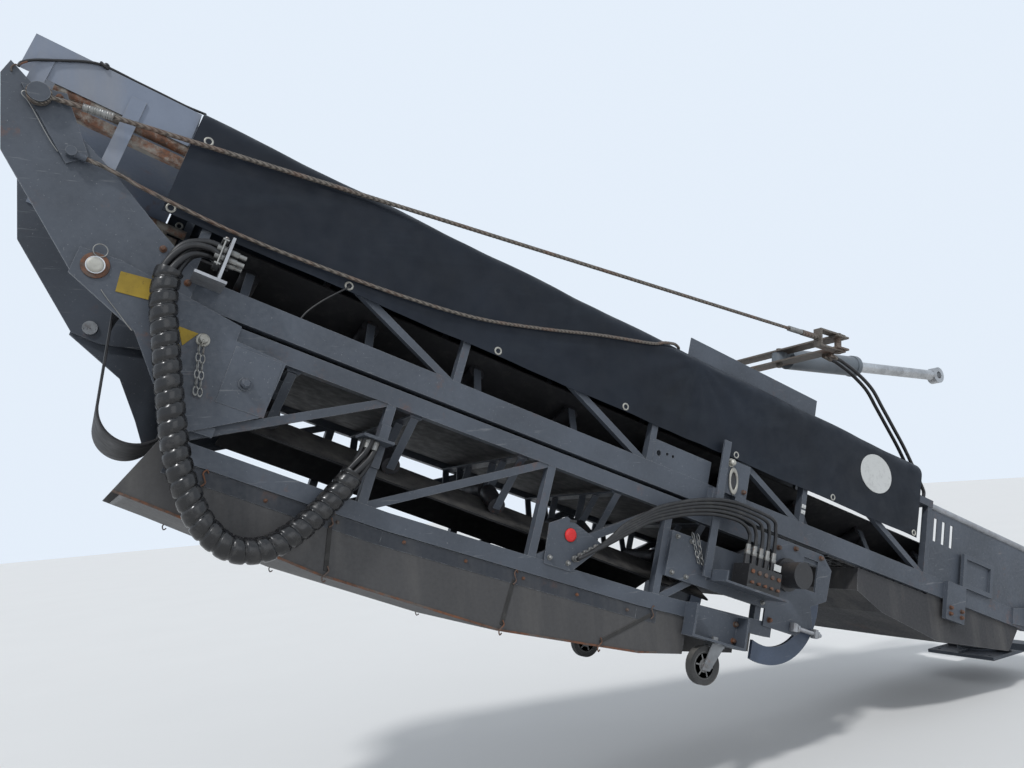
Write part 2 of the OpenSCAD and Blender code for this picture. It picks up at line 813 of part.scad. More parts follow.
module drum_motor() {
    seat = -fold_half - head_plate_t;
    color(roller_steel) in_line() {
        cross_rod(head_u, head_v, 75, -fold_half - 150, seat);
        cross_rod(head_u, head_v, 95, seat - 28, seat);
    }
}

module discharge_guard() {
    centre = [head_u - 80, -445];
    color("#3a4a5c") in_line() both() intersection() {
        ring(centre[0], centre[1], 400, 300, fold_half - 20, fold_half);
        slab(hood_end + 15, centre[0] + 480, -half_w, half_w, -860, -370);
    }
}

module valve_tray() {
    top = tray_v + tray_t;
    color(steel) in_line() {
        slab(tray_u[0], tray_u[1], -tray_y, -half_w - 10, tray_v, top);
        slab(tray_u[0], tray_u[0] + tray_t, -tray_y, -half_w - 10, tray_v, tray_v + 60);
        slab(tray_back_u, tray_u[1], -half_w - 12, -fold_half + 2, -545, -300);
    }
}

module valve_block() {
    top = -360;
    color("#1f2022") in_line() {
        slab(valve_u[0], valve_u[1], -half_w - 150, -half_w - 30, tray_v + tray_t, top);
        for (u = [valve_u[0] + 30:valve_pitch:valve_u[1] - 20])
            translate([u, -half_w - 90, top - 1]) cylinder(r = 16, h = 60);
    }
}

module fold_brackets() {
    reflector_plate = [[1966, -479], [2060, -420], [2315, -500], [2150, -675], [1985, -675]];
    post = fold_posts_u[0] + fold_post_w / 2;
    seat = -fold_half - eps;
    color(steel) in_line() {
        side_plate(reflector_plate, -fold_half - 6, seat);
        slab(post - 142, post, -half_w - 120, seat, hose_end_v + eps, hose_end_v + 12);
        slab(post - fold_post_w, post, -fold_half - 14, -fold_half + 2 - eps, -500, -300);
    }
}

module castor_brackets() {
    from = castor_seat_u[0];
    to = castor_seat_u[1];
    low = castor_seat - castor_t;
    foot = castor_seat - 1;
    out = castor_y + 50;
    color(steel) in_line() both() difference() {
        union() {
            slab(from, to, fold_half - 2, out, low, castor_seat);
            for (u = [from, to - castor_t]) slab(u, u + castor_t, fold_half, out, foot, -640);
            slab(from, to, fold_half, fold_half + 8, foot, -640);
        }
        translate([castor_u, castor_y, low - 8]) cylinder(r = castor_pin_r + pin_gap, h = 40);
    }
}

module castor_fork() {
    cheek = [[-44, 120], [44, 120], [-34, -24], [-86, -24]];
    low = castor_seat - castor_t;
    color("#55595e") in_line() difference() {
        union() {
            translate([castor_u, castor_y, low - 8]) cylinder(r = 42, h = 8 - eps);
            translate([castor_u, castor_y, low - 8]) cylinder(r = castor_pin_r, h = 40);
            for (s = [-1, 1]) side_plate([for (c = cheek) [castor_u + c[0], castor_hub[1] + c[1]]],
                castor_y + s * 30 - 3, castor_y + s * 30 + 3);
            slab(castor_u - 44, castor_u + 44, castor_y - 33, castor_y + 33, low - 18, low - 6);
        }
        cross_rod(castor_hub[0], castor_hub[1], axle_r + pin_gap, castor_y - 50, castor_y + 50);
    }
}

module castor_fork_near() {
    mirror([0, 1, 0]) castor_fork();
}

module castor_fork_far() {
    castor_fork();
}

module castor_wheel() {
    color("#2a2a2a") in_line() {
        cross_rod(castor_hub[0], castor_hub[1], castor_r, castor_y - tyre_half, castor_y + tyre_half);
        cross_rod(castor_hub[0], castor_hub[1], axle_r, castor_y - 36, castor_y + 36);
    }
}

module castor_wheel_near() {
    mirror([0, 1, 0]) castor_wheel();
}

module castor_wheel_far() {
    castor_wheel();
}

module stay_ropes() {
    fork_s = stay_len - 190;
    fork_w = 60;
    fork_t = 12;
    jaw = 48;
    a = atan((stay_y - yoke_half) / stay_len);
    color(rope_steel) in_stay() both() difference() {
        translate([0, stay_y, 0]) rotate([0, 0, -a]) {
            translate([0, 10, 0]) rotate([90, 0, 0]) cylinder(r = stay_pin_r + 20, h = 20);
            translate([40, 0, 0]) rotate([0, 90, 0]) cylinder(r = stay_rope_r, h = fork_s - 40);
            translate([fork_s - 160, 0, 0]) rotate([0, 90, 0]) cylinder(r = 19, h = 170);
            for (z = [-jaw - fork_t, jaw])
                translate([fork_s - 10, -fork_w / 2, z]) cube([240, fork_w, fork_t]);
            translate([fork_s - 10, -fork_w / 2, -jaw - fork_t]) cube([14, fork_w, 2 * (jaw + fork_t)]);
        }
        cross_rod(0, 0, stay_pin_r + pin_gap, stay_y - 50, stay_y + 50);
        translate([stay_len, yoke_half, -100]) cylinder(r = yoke_pin_r + pin_gap, h = 200);
    }
}

module yoke() {
    reach = yoke_half + 45;
    color(yoke_steel) in_stay() translate([stay_len, 0, 0]) {
        for (z = [-46, 34]) translate([-55, -reach, z]) cube([110, 2 * reach, 12]);
        for (y = [-yoke_half, 0, yoke_half]) translate([0, y, -68]) cylinder(r = yoke_pin_r, h = 136);
    }
    color(yoke_steel) in_line() for (y = lift_hose_y) translate([lift_socket[0], y, lift_socket[1]])
        rotate([0, 90, 0]) cylinder(r = lift_socket_r, h = lift_socket_len);
}

module lift_barrel() {
    r = lift_barrel_d / 2;
    eye_half = 33.7;
    color("#6a7177") difference() {
        union() {
            in_lift() translate([75, 0, 0]) rotate([0, 90, 0]) cylinder(r = r, h = 720);
            in_lift() translate([770, 0, 0]) rotate([0, 90, 0]) cylinder(r = r + 6, h = 40);
            in_stay() translate([stay_len, 0, -eye_half]) cylinder(r = 52, h = 2 * eye_half);
            in_stay() translate([stay_len, -40, -eye_half]) cube([95, 80, 2 * eye_half]);
        }
        in_lift() translate([110, 0, 0]) rotate([0, 90, 0]) cylinder(r = lift_rod_d / 2 + pin_gap, h = 800);
        in_stay() translate([stay_len, 0, -50]) cylinder(r = yoke_pin_r + pin_gap, h = 100);
    }
}

module lift_rod() {
    piston = 285;
    rod_end = lift_length - 40;
    color("#9a9da0") in_lift() difference() {
        union() {
            translate([piston, 0, 0]) rotate([0, 90, 0]) cylinder(r = lift_rod_d / 2, h = rod_end - piston);
            translate([lift_length, 35, 0]) rotate([90, 0, 0]) cylinder(r = lift_eye_r, h = 70);
        }
        translate([lift_length, 50, 0]) rotate([90, 0, 0]) cylinder(r = shaft_r, h = 100);
    }
}

// Smooth line through the points, with a few places between each two
function spline(p, steps) = [
    for (i = [0:len(p) - 2], k = [0:steps - 1])
        let (t = k / steps, a = p[max(i - 1, 0)], b = p[i], c = p[i + 1], d = p[min(i + 2, len(p) - 1)],
            square = a - 2.5 * b + 2 * c - d / 2, cube = 1.5 * (b - c) + (d - a) / 2)
                b + (c - a) * t / 2 + square * t ^ 2 + cube * t ^ 3,
    p[len(p) - 1]
];

function unit(v) = v / norm(v);

// Round tube swept along a line
module tube(path, r, sides) {
    n = len(path);
    ring_at = function(i) let (
        dir = unit(path[min(i + 1, n - 1)] - path[max(i - 1, 0)]),
        side = unit(cross(dir, abs(dir[1]) < 0.8 ? [0, 1, 0] : [0, 0, 1])),
        up = cross(side, dir)
    ) [for (k = [0:sides - 1]) path[i] + r * (side * cos(k * 360 / sides) + up * sin(k * 360 / sides))];
    points = [for (i = [0:n - 1]) each ring_at(i)];
    walls = [for (i = [0:n - 2], k = [0:sides - 1])
        let (a = i * sides + k, b = i * sides + (k + 1) % sides)
            each [[a, b + sides, b], [a, a + sides, b + sides]]];
    first = [for (k = [0:sides - 1]) k];
    last = [for (k = [sides - 1:-1:0]) (n - 1) * sides + k];
    polyhedron(points, concat(walls, [first, last]));
}

module hose_loop() {
    color(hose_rubber) in_line() tube(spline(hose_points, 1), hose_d / 2, 12);
}

module slack_rope() {
    far = [for (i = [len(rope_points) - 2:-1:0]) let (p = rope_points[i]) [p[0], -p[1], p[2]]];
    color(rope_steel) in_line() tube(spline(concat(rope_points, far), 2), rope_d / 2, 8);
}

module lift_hose(y) {
    path = [for (p = lift_hose_points) p + [0, y, 0]];
    color(hose_rubber) in_line() tube(spline(path, 2), lift_hose_d / 2, 8);
}

module lift_hose_left() {
    lift_hose(lift_hose_y[0]);
}

module lift_hose_right() {
    lift_hose(lift_hose_y[1]);
}

slew_console();
slew_frame();
tail_brackets();
main_pins();
main_lower_chords();
main_upper_chords();
main_posts();
main_diagonals();
main_cross_members();
main_idler_bars();
main_idler_plates();
main_rollers();
tail_drum();
main_belt();
belt_fold_loop();
cover_bows();
main_cover();
roof_angle();
hopper_sides();
hopper_rail();
hopper_apron();
belly_pan();
mesh_guard();
main_hinge_plates();
stay_brackets();
end_hood();
lock_straps();
hose_bracket();
fold_inner_chords();
fold_outer_chords();
fold_posts();
fold_diagonals();
fold_cross_members();
fold_hinge_plates();
fold_idler_bars();
fold_idler_plates();
fold_rollers();
fold_belt();
fold_hood();
head_drum();
head_plates();
drum_motor();
discharge_guard();
valve_tray();
valve_block();
fold_brackets();
castor_brackets();
castor_fork_near();
castor_fork_far();
castor_wheel_near();
castor_wheel_far();
stay_ropes();
yoke();
lift_barrel();
lift_rod();
hose_loop();
slack_rope();
lift_hose_left();
lift_hose_right();
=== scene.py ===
"""Dresses the folding discharge conveyor: covers, belts, hoses, ropes, fittings and their finishes"""
import json
import math

import bpy
from mathutils import Matrix, Vector


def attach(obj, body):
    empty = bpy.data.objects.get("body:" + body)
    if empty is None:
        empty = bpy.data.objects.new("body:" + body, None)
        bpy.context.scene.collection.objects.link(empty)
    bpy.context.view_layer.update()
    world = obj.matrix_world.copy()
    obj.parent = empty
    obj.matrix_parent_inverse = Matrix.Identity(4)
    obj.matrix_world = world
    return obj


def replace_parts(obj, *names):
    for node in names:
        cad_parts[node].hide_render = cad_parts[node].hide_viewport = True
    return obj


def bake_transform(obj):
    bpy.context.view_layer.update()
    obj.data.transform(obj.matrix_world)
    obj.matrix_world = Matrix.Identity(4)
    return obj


bl_info = {
    "name": "Folding Discharge Conveyor",
    "version": (1, 0, 0),
    "blender": (4, 5, 0),
    "location": "View3D > Sidebar > Conveyor",
    "description": "Builds the cloth, rubber, hoses and fittings of a folding discharge conveyor",
    "category": "Object",
}

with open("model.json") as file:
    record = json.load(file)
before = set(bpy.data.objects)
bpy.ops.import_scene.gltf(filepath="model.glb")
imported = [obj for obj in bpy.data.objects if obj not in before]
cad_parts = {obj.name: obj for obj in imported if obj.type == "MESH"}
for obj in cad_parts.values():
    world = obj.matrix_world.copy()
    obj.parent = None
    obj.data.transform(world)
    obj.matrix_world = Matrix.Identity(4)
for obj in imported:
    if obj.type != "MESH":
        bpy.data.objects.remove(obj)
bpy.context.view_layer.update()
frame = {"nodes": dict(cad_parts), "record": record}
NODES = frame["nodes"]
SLOT_OF = {part["node"]: part["material_slot"] for part in frame["record"]["subparts"]}
COLOUR_OF = {m["slot"]: m["base_color"] for m in frame["record"]["materials"]}

# The conveyor line: u runs down along it from the hinge end, v stands square to it, y goes across
INCLINE = math.radians(21)
LINE_START = Vector((-5.870, 0.0, 2.511))
LINE = Matrix.Translation(LINE_START) @ Matrix.Rotation(INCLINE, 4, "Y")
PATTERN_TURN = (0.0, -INCLINE, 0.0)
ROPE_FALL = math.radians(10.6)
BELT_HALF = 0.400
BELT_THICK = 0.010
OUTER_HOSES = 5
STRANDS = 6
STRAND_DEEP = 0.0016
WIRE_HALF = 0.0022

# Places (u, v) that more than one piece is set by
HINGE_PIN = (-0.300, -0.110)
UPPER_PIN = (-0.717, 0.447)
TURN_ROLLER = (0.040, -0.110)


def on_line(u, y, v):
    """World place of a point given along, across and square to the conveyor line"""
    return LINE @ Vector((u, y, v))


class Finish:
    """One material, with short calls for the patterns that its finish needs"""

    def __init__(self, name, roughness, metallic=0.0):
        self.material = bpy.data.materials.new(name)
        self.material.use_nodes = True
        self.tree = self.material.node_tree
        self.shader = self.tree.nodes["Principled BSDF"]
        self.shader.inputs["Roughness"].default_value = roughness
        self.shader.inputs["Metallic"].default_value = metallic
        self.place = self.tree.nodes.new("ShaderNodeTexCoord").outputs["Object"]

    def node(self, kind, inputs=(), **settings):
        made = self.tree.nodes.new("ShaderNode" + kind)
        for key, value in settings.items():
            setattr(made, key, value)
        for socket, value in dict(inputs).items():
            if isinstance(value, bpy.types.NodeSocket):
                self.tree.links.new(value, made.inputs[socket])
            else:
                made.inputs[socket].default_value = value
        return made

    def stretched(self, scale, turn=(0.0, 0.0, 0.0)):
        """Object coordinates, scaled and turned"""
        made = self.node("Mapping", {"Vector": self.place, "Scale": scale, "Rotation": turn})
        return made.outputs["Vector"]

    def noise(self, scale, detail=4.0, rough=0.55, where=None):
        made = self.node("TexNoise", {"Vector": where or self.place, "Scale": scale, "Detail": detail,
                                      "Roughness": rough})
        return made.outputs["Fac"]

    def weave(self, stretch, scale):
        """Threads that lie across one direction of the conveyor line"""
        made = self.node("TexWave", {"Vector": self.stretched(stretch, PATTERN_TURN), "Scale": scale})
        return made.outputs["Fac"]

    def steps(self, value, low, high, low_to=0.0, high_to=1.0):
        """value taken from low..high to low_to..high_to, and held outside"""
        return self.node("MapRange", {"Value": value, "From Min": low, "From Max": high,
                                      "To Min": low_to, "To Max": high_to}).outputs["Result"]

    def combined(self, a, b, operation):
        return self.node("Math", {0: a, 1: b}, operation=operation).outputs[0]

    def times(self, a, b):
        return self.combined(a, b, "MULTIPLY")

    def blend(self, share, a, b):
        """Colour a, going to colour b where share is 1"""
        made = self.node("Mix", {"Factor": share}, data_type="RGBA")
        for socket, colour in ((made.inputs[6], a), (made.inputs[7], b)):
            if isinstance(colour, bpy.types.NodeSocket):
                self.tree.links.new(colour, socket)
            else:
                socket.default_value = (*colour, 1.0)
        return made.outputs[2]

    def upward(self):
        """1 on faces that look up, 0 on walls and below"""
        normal = self.node("NewGeometry").outputs["Normal"]
        return self.steps(self.node("SeparateXYZ", {"Vector": normal}).outputs["Z"], 0.35, 0.95)

    def edges(self, radius):
        """1 along the sharp edges of a solid"""
        soft = self.node("Bevel", {"Radius": radius}, samples=4).outputs["Normal"]
        hard = self.node("NewGeometry").outputs["Normal"]
        dot = self.node("VectorMath", {0: soft, 1: hard}, operation="DOT_PRODUCT").outputs["Value"]
        return self.steps(dot, 0.985, 0.86)

    def use(self, socket, value):
        self.tree.links.new(value, self.shader.inputs[socket])

    def relief(self, height, strength, depth):
        made = self.node("Bump", {"Height": height, "Strength": strength, "Distance": depth})
        self.use("Normal", made.outputs["Normal"])


def darker(colour, share):
    return tuple(c * share for c in colour[:3])


DUST = (0.30, 0.28, 0.25)
RUST = (0.16, 0.062, 0.028)
BARE = (0.24, 0.25, 0.26)
BROWN_DIRT = (0.17, 0.135, 0.105)


def worn_paint(name, colour, wear=0.8, rust=0.5, dust=0.35, rough=0.5, edge=0.004):
    """Satin paint: clouds of tone, chipped light edges, rust bites, and dust on what looks up"""
    f = Finish(name, rough)
    tone = f.steps(f.noise(2.2, 5.0), 0.35, 0.7)
    base = f.blend(tone, darker(colour, 0.78), darker(colour, 1.22))
    fine = f.noise(55.0, 6.0, 0.7)
    chips = f.times(f.edges(edge), f.steps(fine, 0.42, 0.56))
    speckle = f.steps(f.noise(90.0, 3.0, 0.6), 0.66, 0.72, 0.0, 0.55)
    bare = f.times(f.combined(chips, speckle, "MAXIMUM"), wear)
    patch = f.times(f.steps(f.noise(3.4, 6.0, 0.65), 0.58, 0.70),
                    f.steps(f.noise(24.0, 8.0, 0.75), 0.5, 0.62))
    grime = f.times(f.upward(), f.steps(f.noise(7.0, 6.0, 0.65), 0.3, 0.7))
    along = f.stretched((0.35, 5.0, 5.0), PATTERN_TURN)
    scratch = f.times(f.steps(f.noise(11.0, 5.0, 0.6, along), 0.64, 0.70), 0.42 * wear)
    scuffed = f.blend(scratch, f.blend(bare, base, BARE), BARE)
    worn = f.blend(f.times(patch, rust), scuffed, RUST)
    f.use("Base Color", f.blend(f.times(grime, dust), worn, BROWN_DIRT))
    f.use("Roughness", f.steps(fine, 0.3, 0.7, rough - 0.1, rough + 0.22))
    f.relief(f.noise(38.0, 5.0, 0.6), 0.18, 0.002)
    return f.material


def coated_cloth(name, colour):
    """Coated cloth: a fine weave, rubbed pale streaks and soft dust"""
    f = Finish(name, 0.5)
    clouds = f.steps(f.noise(1.6, 6.0, 0.6), 0.35, 0.7)
    base = f.blend(clouds, darker(colour, 0.8), darker(colour, 1.5))
    streak = f.steps(f.noise(3.0, 5.0, 0.65, f.stretched((0.5, 1.0, 2.6), PATTERN_TURN)), 0.54, 0.76)
    rub = f.times(streak, 0.10)
    dust = f.times(f.times(f.upward(), f.steps(f.noise(5.0, 6.0, 0.6), 0.3, 0.75)), 0.035)
    f.use("Base Color", f.blend(dust, f.blend(rub, base, (0.06, 0.08, 0.10)), DUST))
    f.use("Roughness", f.steps(f.noise(12.0, 4.0), 0.3, 0.7, 0.42, 0.65))
    warp = f.weave((1.0, 0.0, 0.0), 260.0)
    weft = f.weave((0.0, 1.0, 1.0), 190.0)
    f.relief(f.combined(warp, weft, "ADD"), 0.05, 0.0006)
    f.shader.inputs["Specular IOR Level"].default_value = 0.22
    return f.material


def sheet_steel(name, colour, streaks=0.3, rust=0.35, rough=0.55):
    """Large painted sheet: long faded streaks, dents and stained edges"""
    f = Finish(name, rough)
    cloud = f.steps(f.noise(1.4, 5.0, 0.6), 0.3, 0.72)
    base = f.blend(cloud, darker(colour, 0.86), darker(colour, 1.16))
    run = f.steps(f.noise(5.0, 6.0, 0.6, f.stretched((1.0, 1.0, 0.14))), 0.5, 0.72)
    faded = f.blend(f.times(run, streaks), base, DUST)
    fine = f.noise(60.0, 6.0, 0.7)
    chips = f.times(f.edges(0.006), f.steps(fine, 0.42, 0.58))
    stain = f.times(f.steps(f.noise(4.0, 7.0, 0.7), 0.60, 0.72), rust)
    f.use("Base Color", f.blend(stain, f.blend(f.times(chips, 0.75), faded, BARE), RUST))
    f.use("Roughness", f.steps(fine, 0.3, 0.7, rough - 0.08, rough + 0.2))
    f.relief(f.noise(2.6, 3.0, 0.5), 0.35, 0.02)
    return f.material


def dusty_rubber(name, colour, rough=0.72, dust=0.35, grain=120.0):
    """Rubber: dull black with dust in its grain and scuffed lighter runs"""
    f = Finish(name, rough)
    base = f.blend(f.steps(f.noise(3.0, 5.0), 0.3, 0.7), darker(colour, 0.75), darker(colour, 1.5))
    scuff = f.times(f.steps(f.noise(14.0, 7.0, 0.7), 0.52, 0.7), 0.22)
    grime = f.times(f.times(f.upward(), f.steps(f.noise(9.0, 6.0, 0.7), 0.3, 0.7)), dust)
    f.use("Base Color", f.blend(grime, f.blend(scuff, base, (0.12, 0.115, 0.105)), DUST))
    f.use("Roughness", f.steps(f.noise(20.0, 4.0), 0.3, 0.7, rough - 0.12, rough + 0.12))
    f.relief(f.noise(grain, 3.0, 0.6), 0.25, 0.0012)
    return f.material


def machined_steel(name, colour, rough=0.38, rust=0.3, metallic=0.9):
    """Bare or plated steel: brushed grain, dull patches and small rust bites"""
    f = Finish(name, rough, metallic)
    base = f.blend(f.steps(f.noise(9.0, 6.0, 0.65), 0.35, 0.7), darker(colour, 0.7), darker(colour, 1.15))
    bite = f.times(f.steps(f.noise(32.0, 8.0, 0.75), 0.56, 0.68), rust)
    f.use("Base Color", f.blend(bite, base, RUST))
    f.use("Roughness", f.steps(f.noise(26.0, 5.0, 0.7), 0.3, 0.72, rough - 0.1, rough + 0.25))
    f.relief(f.noise(300.0, 2.0, 0.5, f.stretched((0.1, 1.0, 1.0), PATTERN_TURN)), 0.12, 0.0006)
    return f.material


def gloss_plastic(name, colour):
    """Black plastic: glossy, with dull dusty scuffs"""
    rough = 0.22
    f = Finish(name, rough)
    scuff = f.steps(f.noise(26.0, 6.0, 0.7), 0.5, 0.68)
    f.use("Base Color", f.blend(f.times(scuff, 0.3), colour[:3], (0.09, 0.085, 0.08)))
    f.use("Roughness", f.steps(scuff, 0.0, 1.0, rough, rough + 0.35))
    f.relief(f.noise(45.0, 4.0, 0.6), 0.12, 0.001)
    return f.material


def stranded_steel(name, colour):
    """Wire rope: laid strands seen as slanting ridges, with painted shade in their grooves, greasy and dusty
    """
    f = Finish(name, 0.55, 0.35)
    along = f.stretched((1.0, 2.2, 2.2), (0.0, -ROPE_FALL, 0.0))
    lay = f.node("TexWave", {"Vector": along, "Scale": 26.0, "Distortion": 0.6},
                 bands_direction="DIAGONAL").outputs["Fac"]
    # painted shade: the colour goes dark in the grooves of the strand bands and pale on their crowns, as the
    # relief does
    base = f.blend(lay, darker(colour, 0.35), darker(colour, 1.35))
    grease = f.times(f.steps(f.noise(8.0, 6.0, 0.7), 0.48, 0.7), 0.5)
    f.use("Base Color", f.blend(grease, base, RUST))
    f.relief(lay, 0.6, 0.002)
    return f.material


def rusty_coat(name, colour, low=0.44):
    """Old paint half gone: pale dusty patches, brown rust blooms and dark pits"""
    f = Finish(name, 0.7)
    base = f.blend(f.steps(f.noise(6.0, 5.0, 0.6), 0.35, 0.7), darker(colour, 0.7), darker(colour, 1.25))
    bloom = f.steps(f.noise(9.0, 9.0, 0.72), low, low + 0.12)
    tone = f.blend(f.steps(f.noise(30.0, 5.0, 0.7), 0.4, 0.65), RUST, (0.055, 0.032, 0.022))
    pits = f.times(f.steps(f.noise(70.0, 4.0, 0.7), 0.62, 0.70), 0.7)
    f.use("Base Color", f.blend(pits, f.blend(bloom, base, tone), (0.03, 0.022, 0.018)))
    f.relief(f.noise(60.0, 6.0, 0.7), 0.4, 0.0015)
    return f.material


def plain_finish(name, colour, rough):
    """Small coloured pieces: their own colour, with fine dirt"""
    f = Finish(name, rough)
    dirt = f.times(f.steps(f.noise(40.0, 6.0, 0.7), 0.5, 0.72), 0.35)
    f.use("Base Color", f.blend(dirt, colour[:3], darker(colour, 0.45)))
    f.use("Roughness", f.steps(f.noise(25.0, 3.0), 0.3, 0.7, rough - 0.08, rough + 0.2))
    return f.material


FINISHES = {}


def paint_by_slot(colours):
    """One finish for each material slot of the record"""
    return {
        "frame_paint": worn_paint("frame paint", colours.frame, 0.85, 0.55, 0.35, 0.48),
        "tarpaulin": coated_cloth("tarpaulin", colours.cover),
        "hood_panel": sheet_steel("hood panel", colours.hood, 0.12, 0.08, 0.6),
        "end_sheet": sheet_steel("end sheet", colours.end_sheet, 0.3, 0.75, 0.5),
        "belt_rubber": dusty_rubber("belt rubber", colours.belt),
        "dark_panel": sheet_steel("belly panel", COLOUR_OF["dark_panel"], 0.15, 0.2, 0.6),
        "guard_steel": worn_paint("guard steel", COLOUR_OF["guard_steel"], 0.7, 0.3, 0.3, 0.42),
        "roller_steel": machined_steel("roller steel", COLOUR_OF["roller_steel"], 0.5, 0.45, 0.4),
        "bright_steel": machined_steel("bright steel", COLOUR_OF["bright_steel"], 0.3, 0.3),
        "rail_steel": machined_steel("rail steel", COLOUR_OF["rail_steel"], 0.45, 0.35, 0.6),
        "motor_black": worn_paint("motor black", COLOUR_OF["motor_black"], 0.35, 0.1, 0.4, 0.35, 0.002),
        "castor_steel": machined_steel("castor zinc", COLOUR_OF["castor_steel"], 0.45, 0.4, 0.5),
        "castor_rubber": dusty_rubber("castor rubber", COLOUR_OF["castor_rubber"], 0.7, 0.5, 60.0),
        "rope_steel": stranded_steel("wire rope", COLOUR_OF["rope_steel"]),
        "cylinder_grey": worn_paint("cylinder grey", COLOUR_OF["cylinder_grey"], 0.6, 0.25, 0.3, 0.4),
        "hose_guard": gloss_plastic("spiral guard", COLOUR_OF["hose_guard"]),
        "hose_rubber": dusty_rubber("hose rubber", (0.006, 0.006, 0.007), 0.42, 0.10, 200.0),
        "zinc": machined_steel("zinc", (0.27, 0.27, 0.26), 0.42, 0.5, 0.75),
        "rusty_steel": rusty_coat("rusty steel", (0.10, 0.085, 0.075), 0.40),
        "dusty_pipe": rusty_coat("dusty pipe", (0.26, 0.24, 0.21)),
        "pale_steel": machined_steel("pale steel", (0.40, 0.39, 0.35), 0.4, 0.2, 0.5),
        "dark_strip": sheet_steel("dark strip", (0.020, 0.024, 0.032), 0.15, 0.3, 0.55),
        "red_lens": plain_finish("red lens", (0.62, 0.012, 0.012), 0.16),
        "blank_yellow": rusty_coat("blank yellow", (0.33, 0.225, 0.022), 0.60),
        "blank_white": plain_finish("blank white", (0.55, 0.56, 0.55), 0.4),
        "strap_web": dusty_rubber("strap web", (0.022, 0.021, 0.020), 0.7, 0.35, 320.0),
        "hub_plastic": plain_finish("hub plastic", (0.15, 0.15, 0.15), 0.5),
    }


def deselect():
    """Nothing selected, and out of edit mode"""
    if bpy.context.object and bpy.context.object.mode != "OBJECT":
        bpy.ops.object.mode_set(mode="OBJECT")
    bpy.ops.object.select_all(action="DESELECT")


def pick(*objects):
    """Selects just these objects, the first one active"""
    deselect()
    for o in objects:
        o.select_set(True)
    bpy.context.view_layer.objects.active = objects[0]


def settle(obj):
    """Applies the modifiers and the place, so that the piece's object sits at the origin"""
    pick(obj)
    for modifier in list(obj.modifiers):
        bpy.ops.object.modifier_apply(modifier=modifier.name)
    bpy.ops.object.transform_apply(location=True, rotation=True, scale=True)
    return obj


def joined(*objects):
    pick(*objects)
    if len(objects) > 1:
        bpy.ops.object.join()
    return bpy.context.object


def dressed(obj, name, slot, body=None, finish=None, smooth=35):
    """Names a finished piece, gives it its finish and puts it on its body"""
    obj.name = name
    obj.data.name = name
    obj.data.materials.clear()
    obj.data.materials.append(finish or FINISHES[slot])
    pick(obj)
    if obj.type == "MESH":
        bpy.ops.object.shade_smooth_by_angle(angle=math.radians(smooth))
    if body:
        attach(obj, body)
    return obj


def mesh_piece(name, points, faces):
    """An object from points and faces, for cloth, belts and swept tubes"""
    mesh = bpy.data.meshes.new(name)
    mesh.from_pydata([tuple(p) for p in points], [], faces)
    mesh.update()
    obj = bpy.data.objects.new(name, mesh)
    bpy.context.scene.collection.objects.link(obj)
    return obj


def spline(points, steps):
    """Smooth line through the points, with steps places between each two"""
    found = []
    last = len(points) - 1
    for i in range(last):
        a, b, c, d = points[max(i - 1, 0)], points[i], points[i + 1], points[min(i + 2, last)]
        for k in range(steps):
            t = k / steps
            found.append(0.5 * (2 * b + (c - a) * t + (2 * a - 5 * b + 4 * c - d) * t ** 2
                                + (3 * b - a - 3 * c + d) * t ** 3))
    return found + [points[last]]


def capped_tube(name, points, sides):
    """Rings of points joined by faces, with a face at each end"""
    rings = len(points) // sides
    faces = []
    for i in range(rings - 1):
        for k in range(sides):
            m = (k + 1) % sides
            faces.append((i * sides + k, i * sides + m, (i + 1) * sides + m, (i + 1) * sides + k))
    faces.append(tuple(range(sides - 1, -1, -1)))
    faces.append(tuple((rings - 1) * sides + k for k in range(sides)))
    return mesh_piece(name, points, faces)


def swept(name, path, radius, sides, offset=lambda run: (0.0, 0.0)):
    """A tube along the path: radius(run, angle) gives its wall, offset(run) its place off the path"""
    side = Vector((0, 1, 0))
    points, run = [], 0.0
    for i, here in enumerate(path):
        ahead = (path[min(i + 1, len(path) - 1)] - path[max(i - 1, 0)]).normalized()
        side = (side - ahead * side.dot(ahead)).normalized()
        up = ahead.cross(side)
        if i:
            run += (here - path[i - 1]).length
        across, above = offset(run)
        centre = here + side * across + up * above
        for k in range(sides):
            angle = 2 * math.pi * k / sides
            r = radius(run, angle)
            points.append(centre + side * math.cos(angle) * r + up * math.sin(angle) * r)
    return capped_tube(name, points, sides)


def laid_strands(crown, deep, strands, pitch):
    """Wall of a rope whose strands turn once in each pitch"""
    def wall(run, angle):
        return crown - deep * (0.5 - 0.5 * math.cos(strands * (angle - 2 * math.pi * run / pitch)))
    return wall


def round_lead(name, slot, body, points, radius, sides, steps=8, finish=None):
    """A hose, tie or wire of one thickness on its run, dressed, and the path that it follows"""
    path = spline([on_line(*p) for p in points], steps)
    lead = swept(name, path, lambda run, angle: radius, sides)
    return dressed(lead, name, slot, body, FINISHES[finish or slot]), path


# The small pieces are modelled on the line and then put in place: x along it, y across, z square to it
def in_place(obj):
    """Applies a piece's place, turn and size"""
    pick(obj)
    bpy.ops.object.transform_apply(location=True, rotation=True, scale=True)
    return obj


def rounded(obj, width, segments=1):
    """Bevels the sharp edges of a piece"""
    in_place(obj)
    edge = obj.modifiers.new("edge", "BEVEL")
    edge.width = width
    edge.segments = segments
    edge.limit_method = "ANGLE"
    edge.angle_limit = math.radians(40)
    bpy.ops.object.modifier_apply(modifier=edge.name)
    return obj


def round_bar(centre, radius, length, axis="Y", sides=24, edge=0.0015):
    """A round bar with broken edges"""
    deselect()
    turn = {"X": (0, math.pi / 2, 0), "Y": (math.pi / 2, 0, 0), "Z": (0, 0, 0)}[axis]
    bpy.ops.mesh.primitive_cylinder_add(vertices=sides, radius=radius, depth=length, location=centre,
                                        rotation=turn)
    return rounded(bpy.context.object, edge)


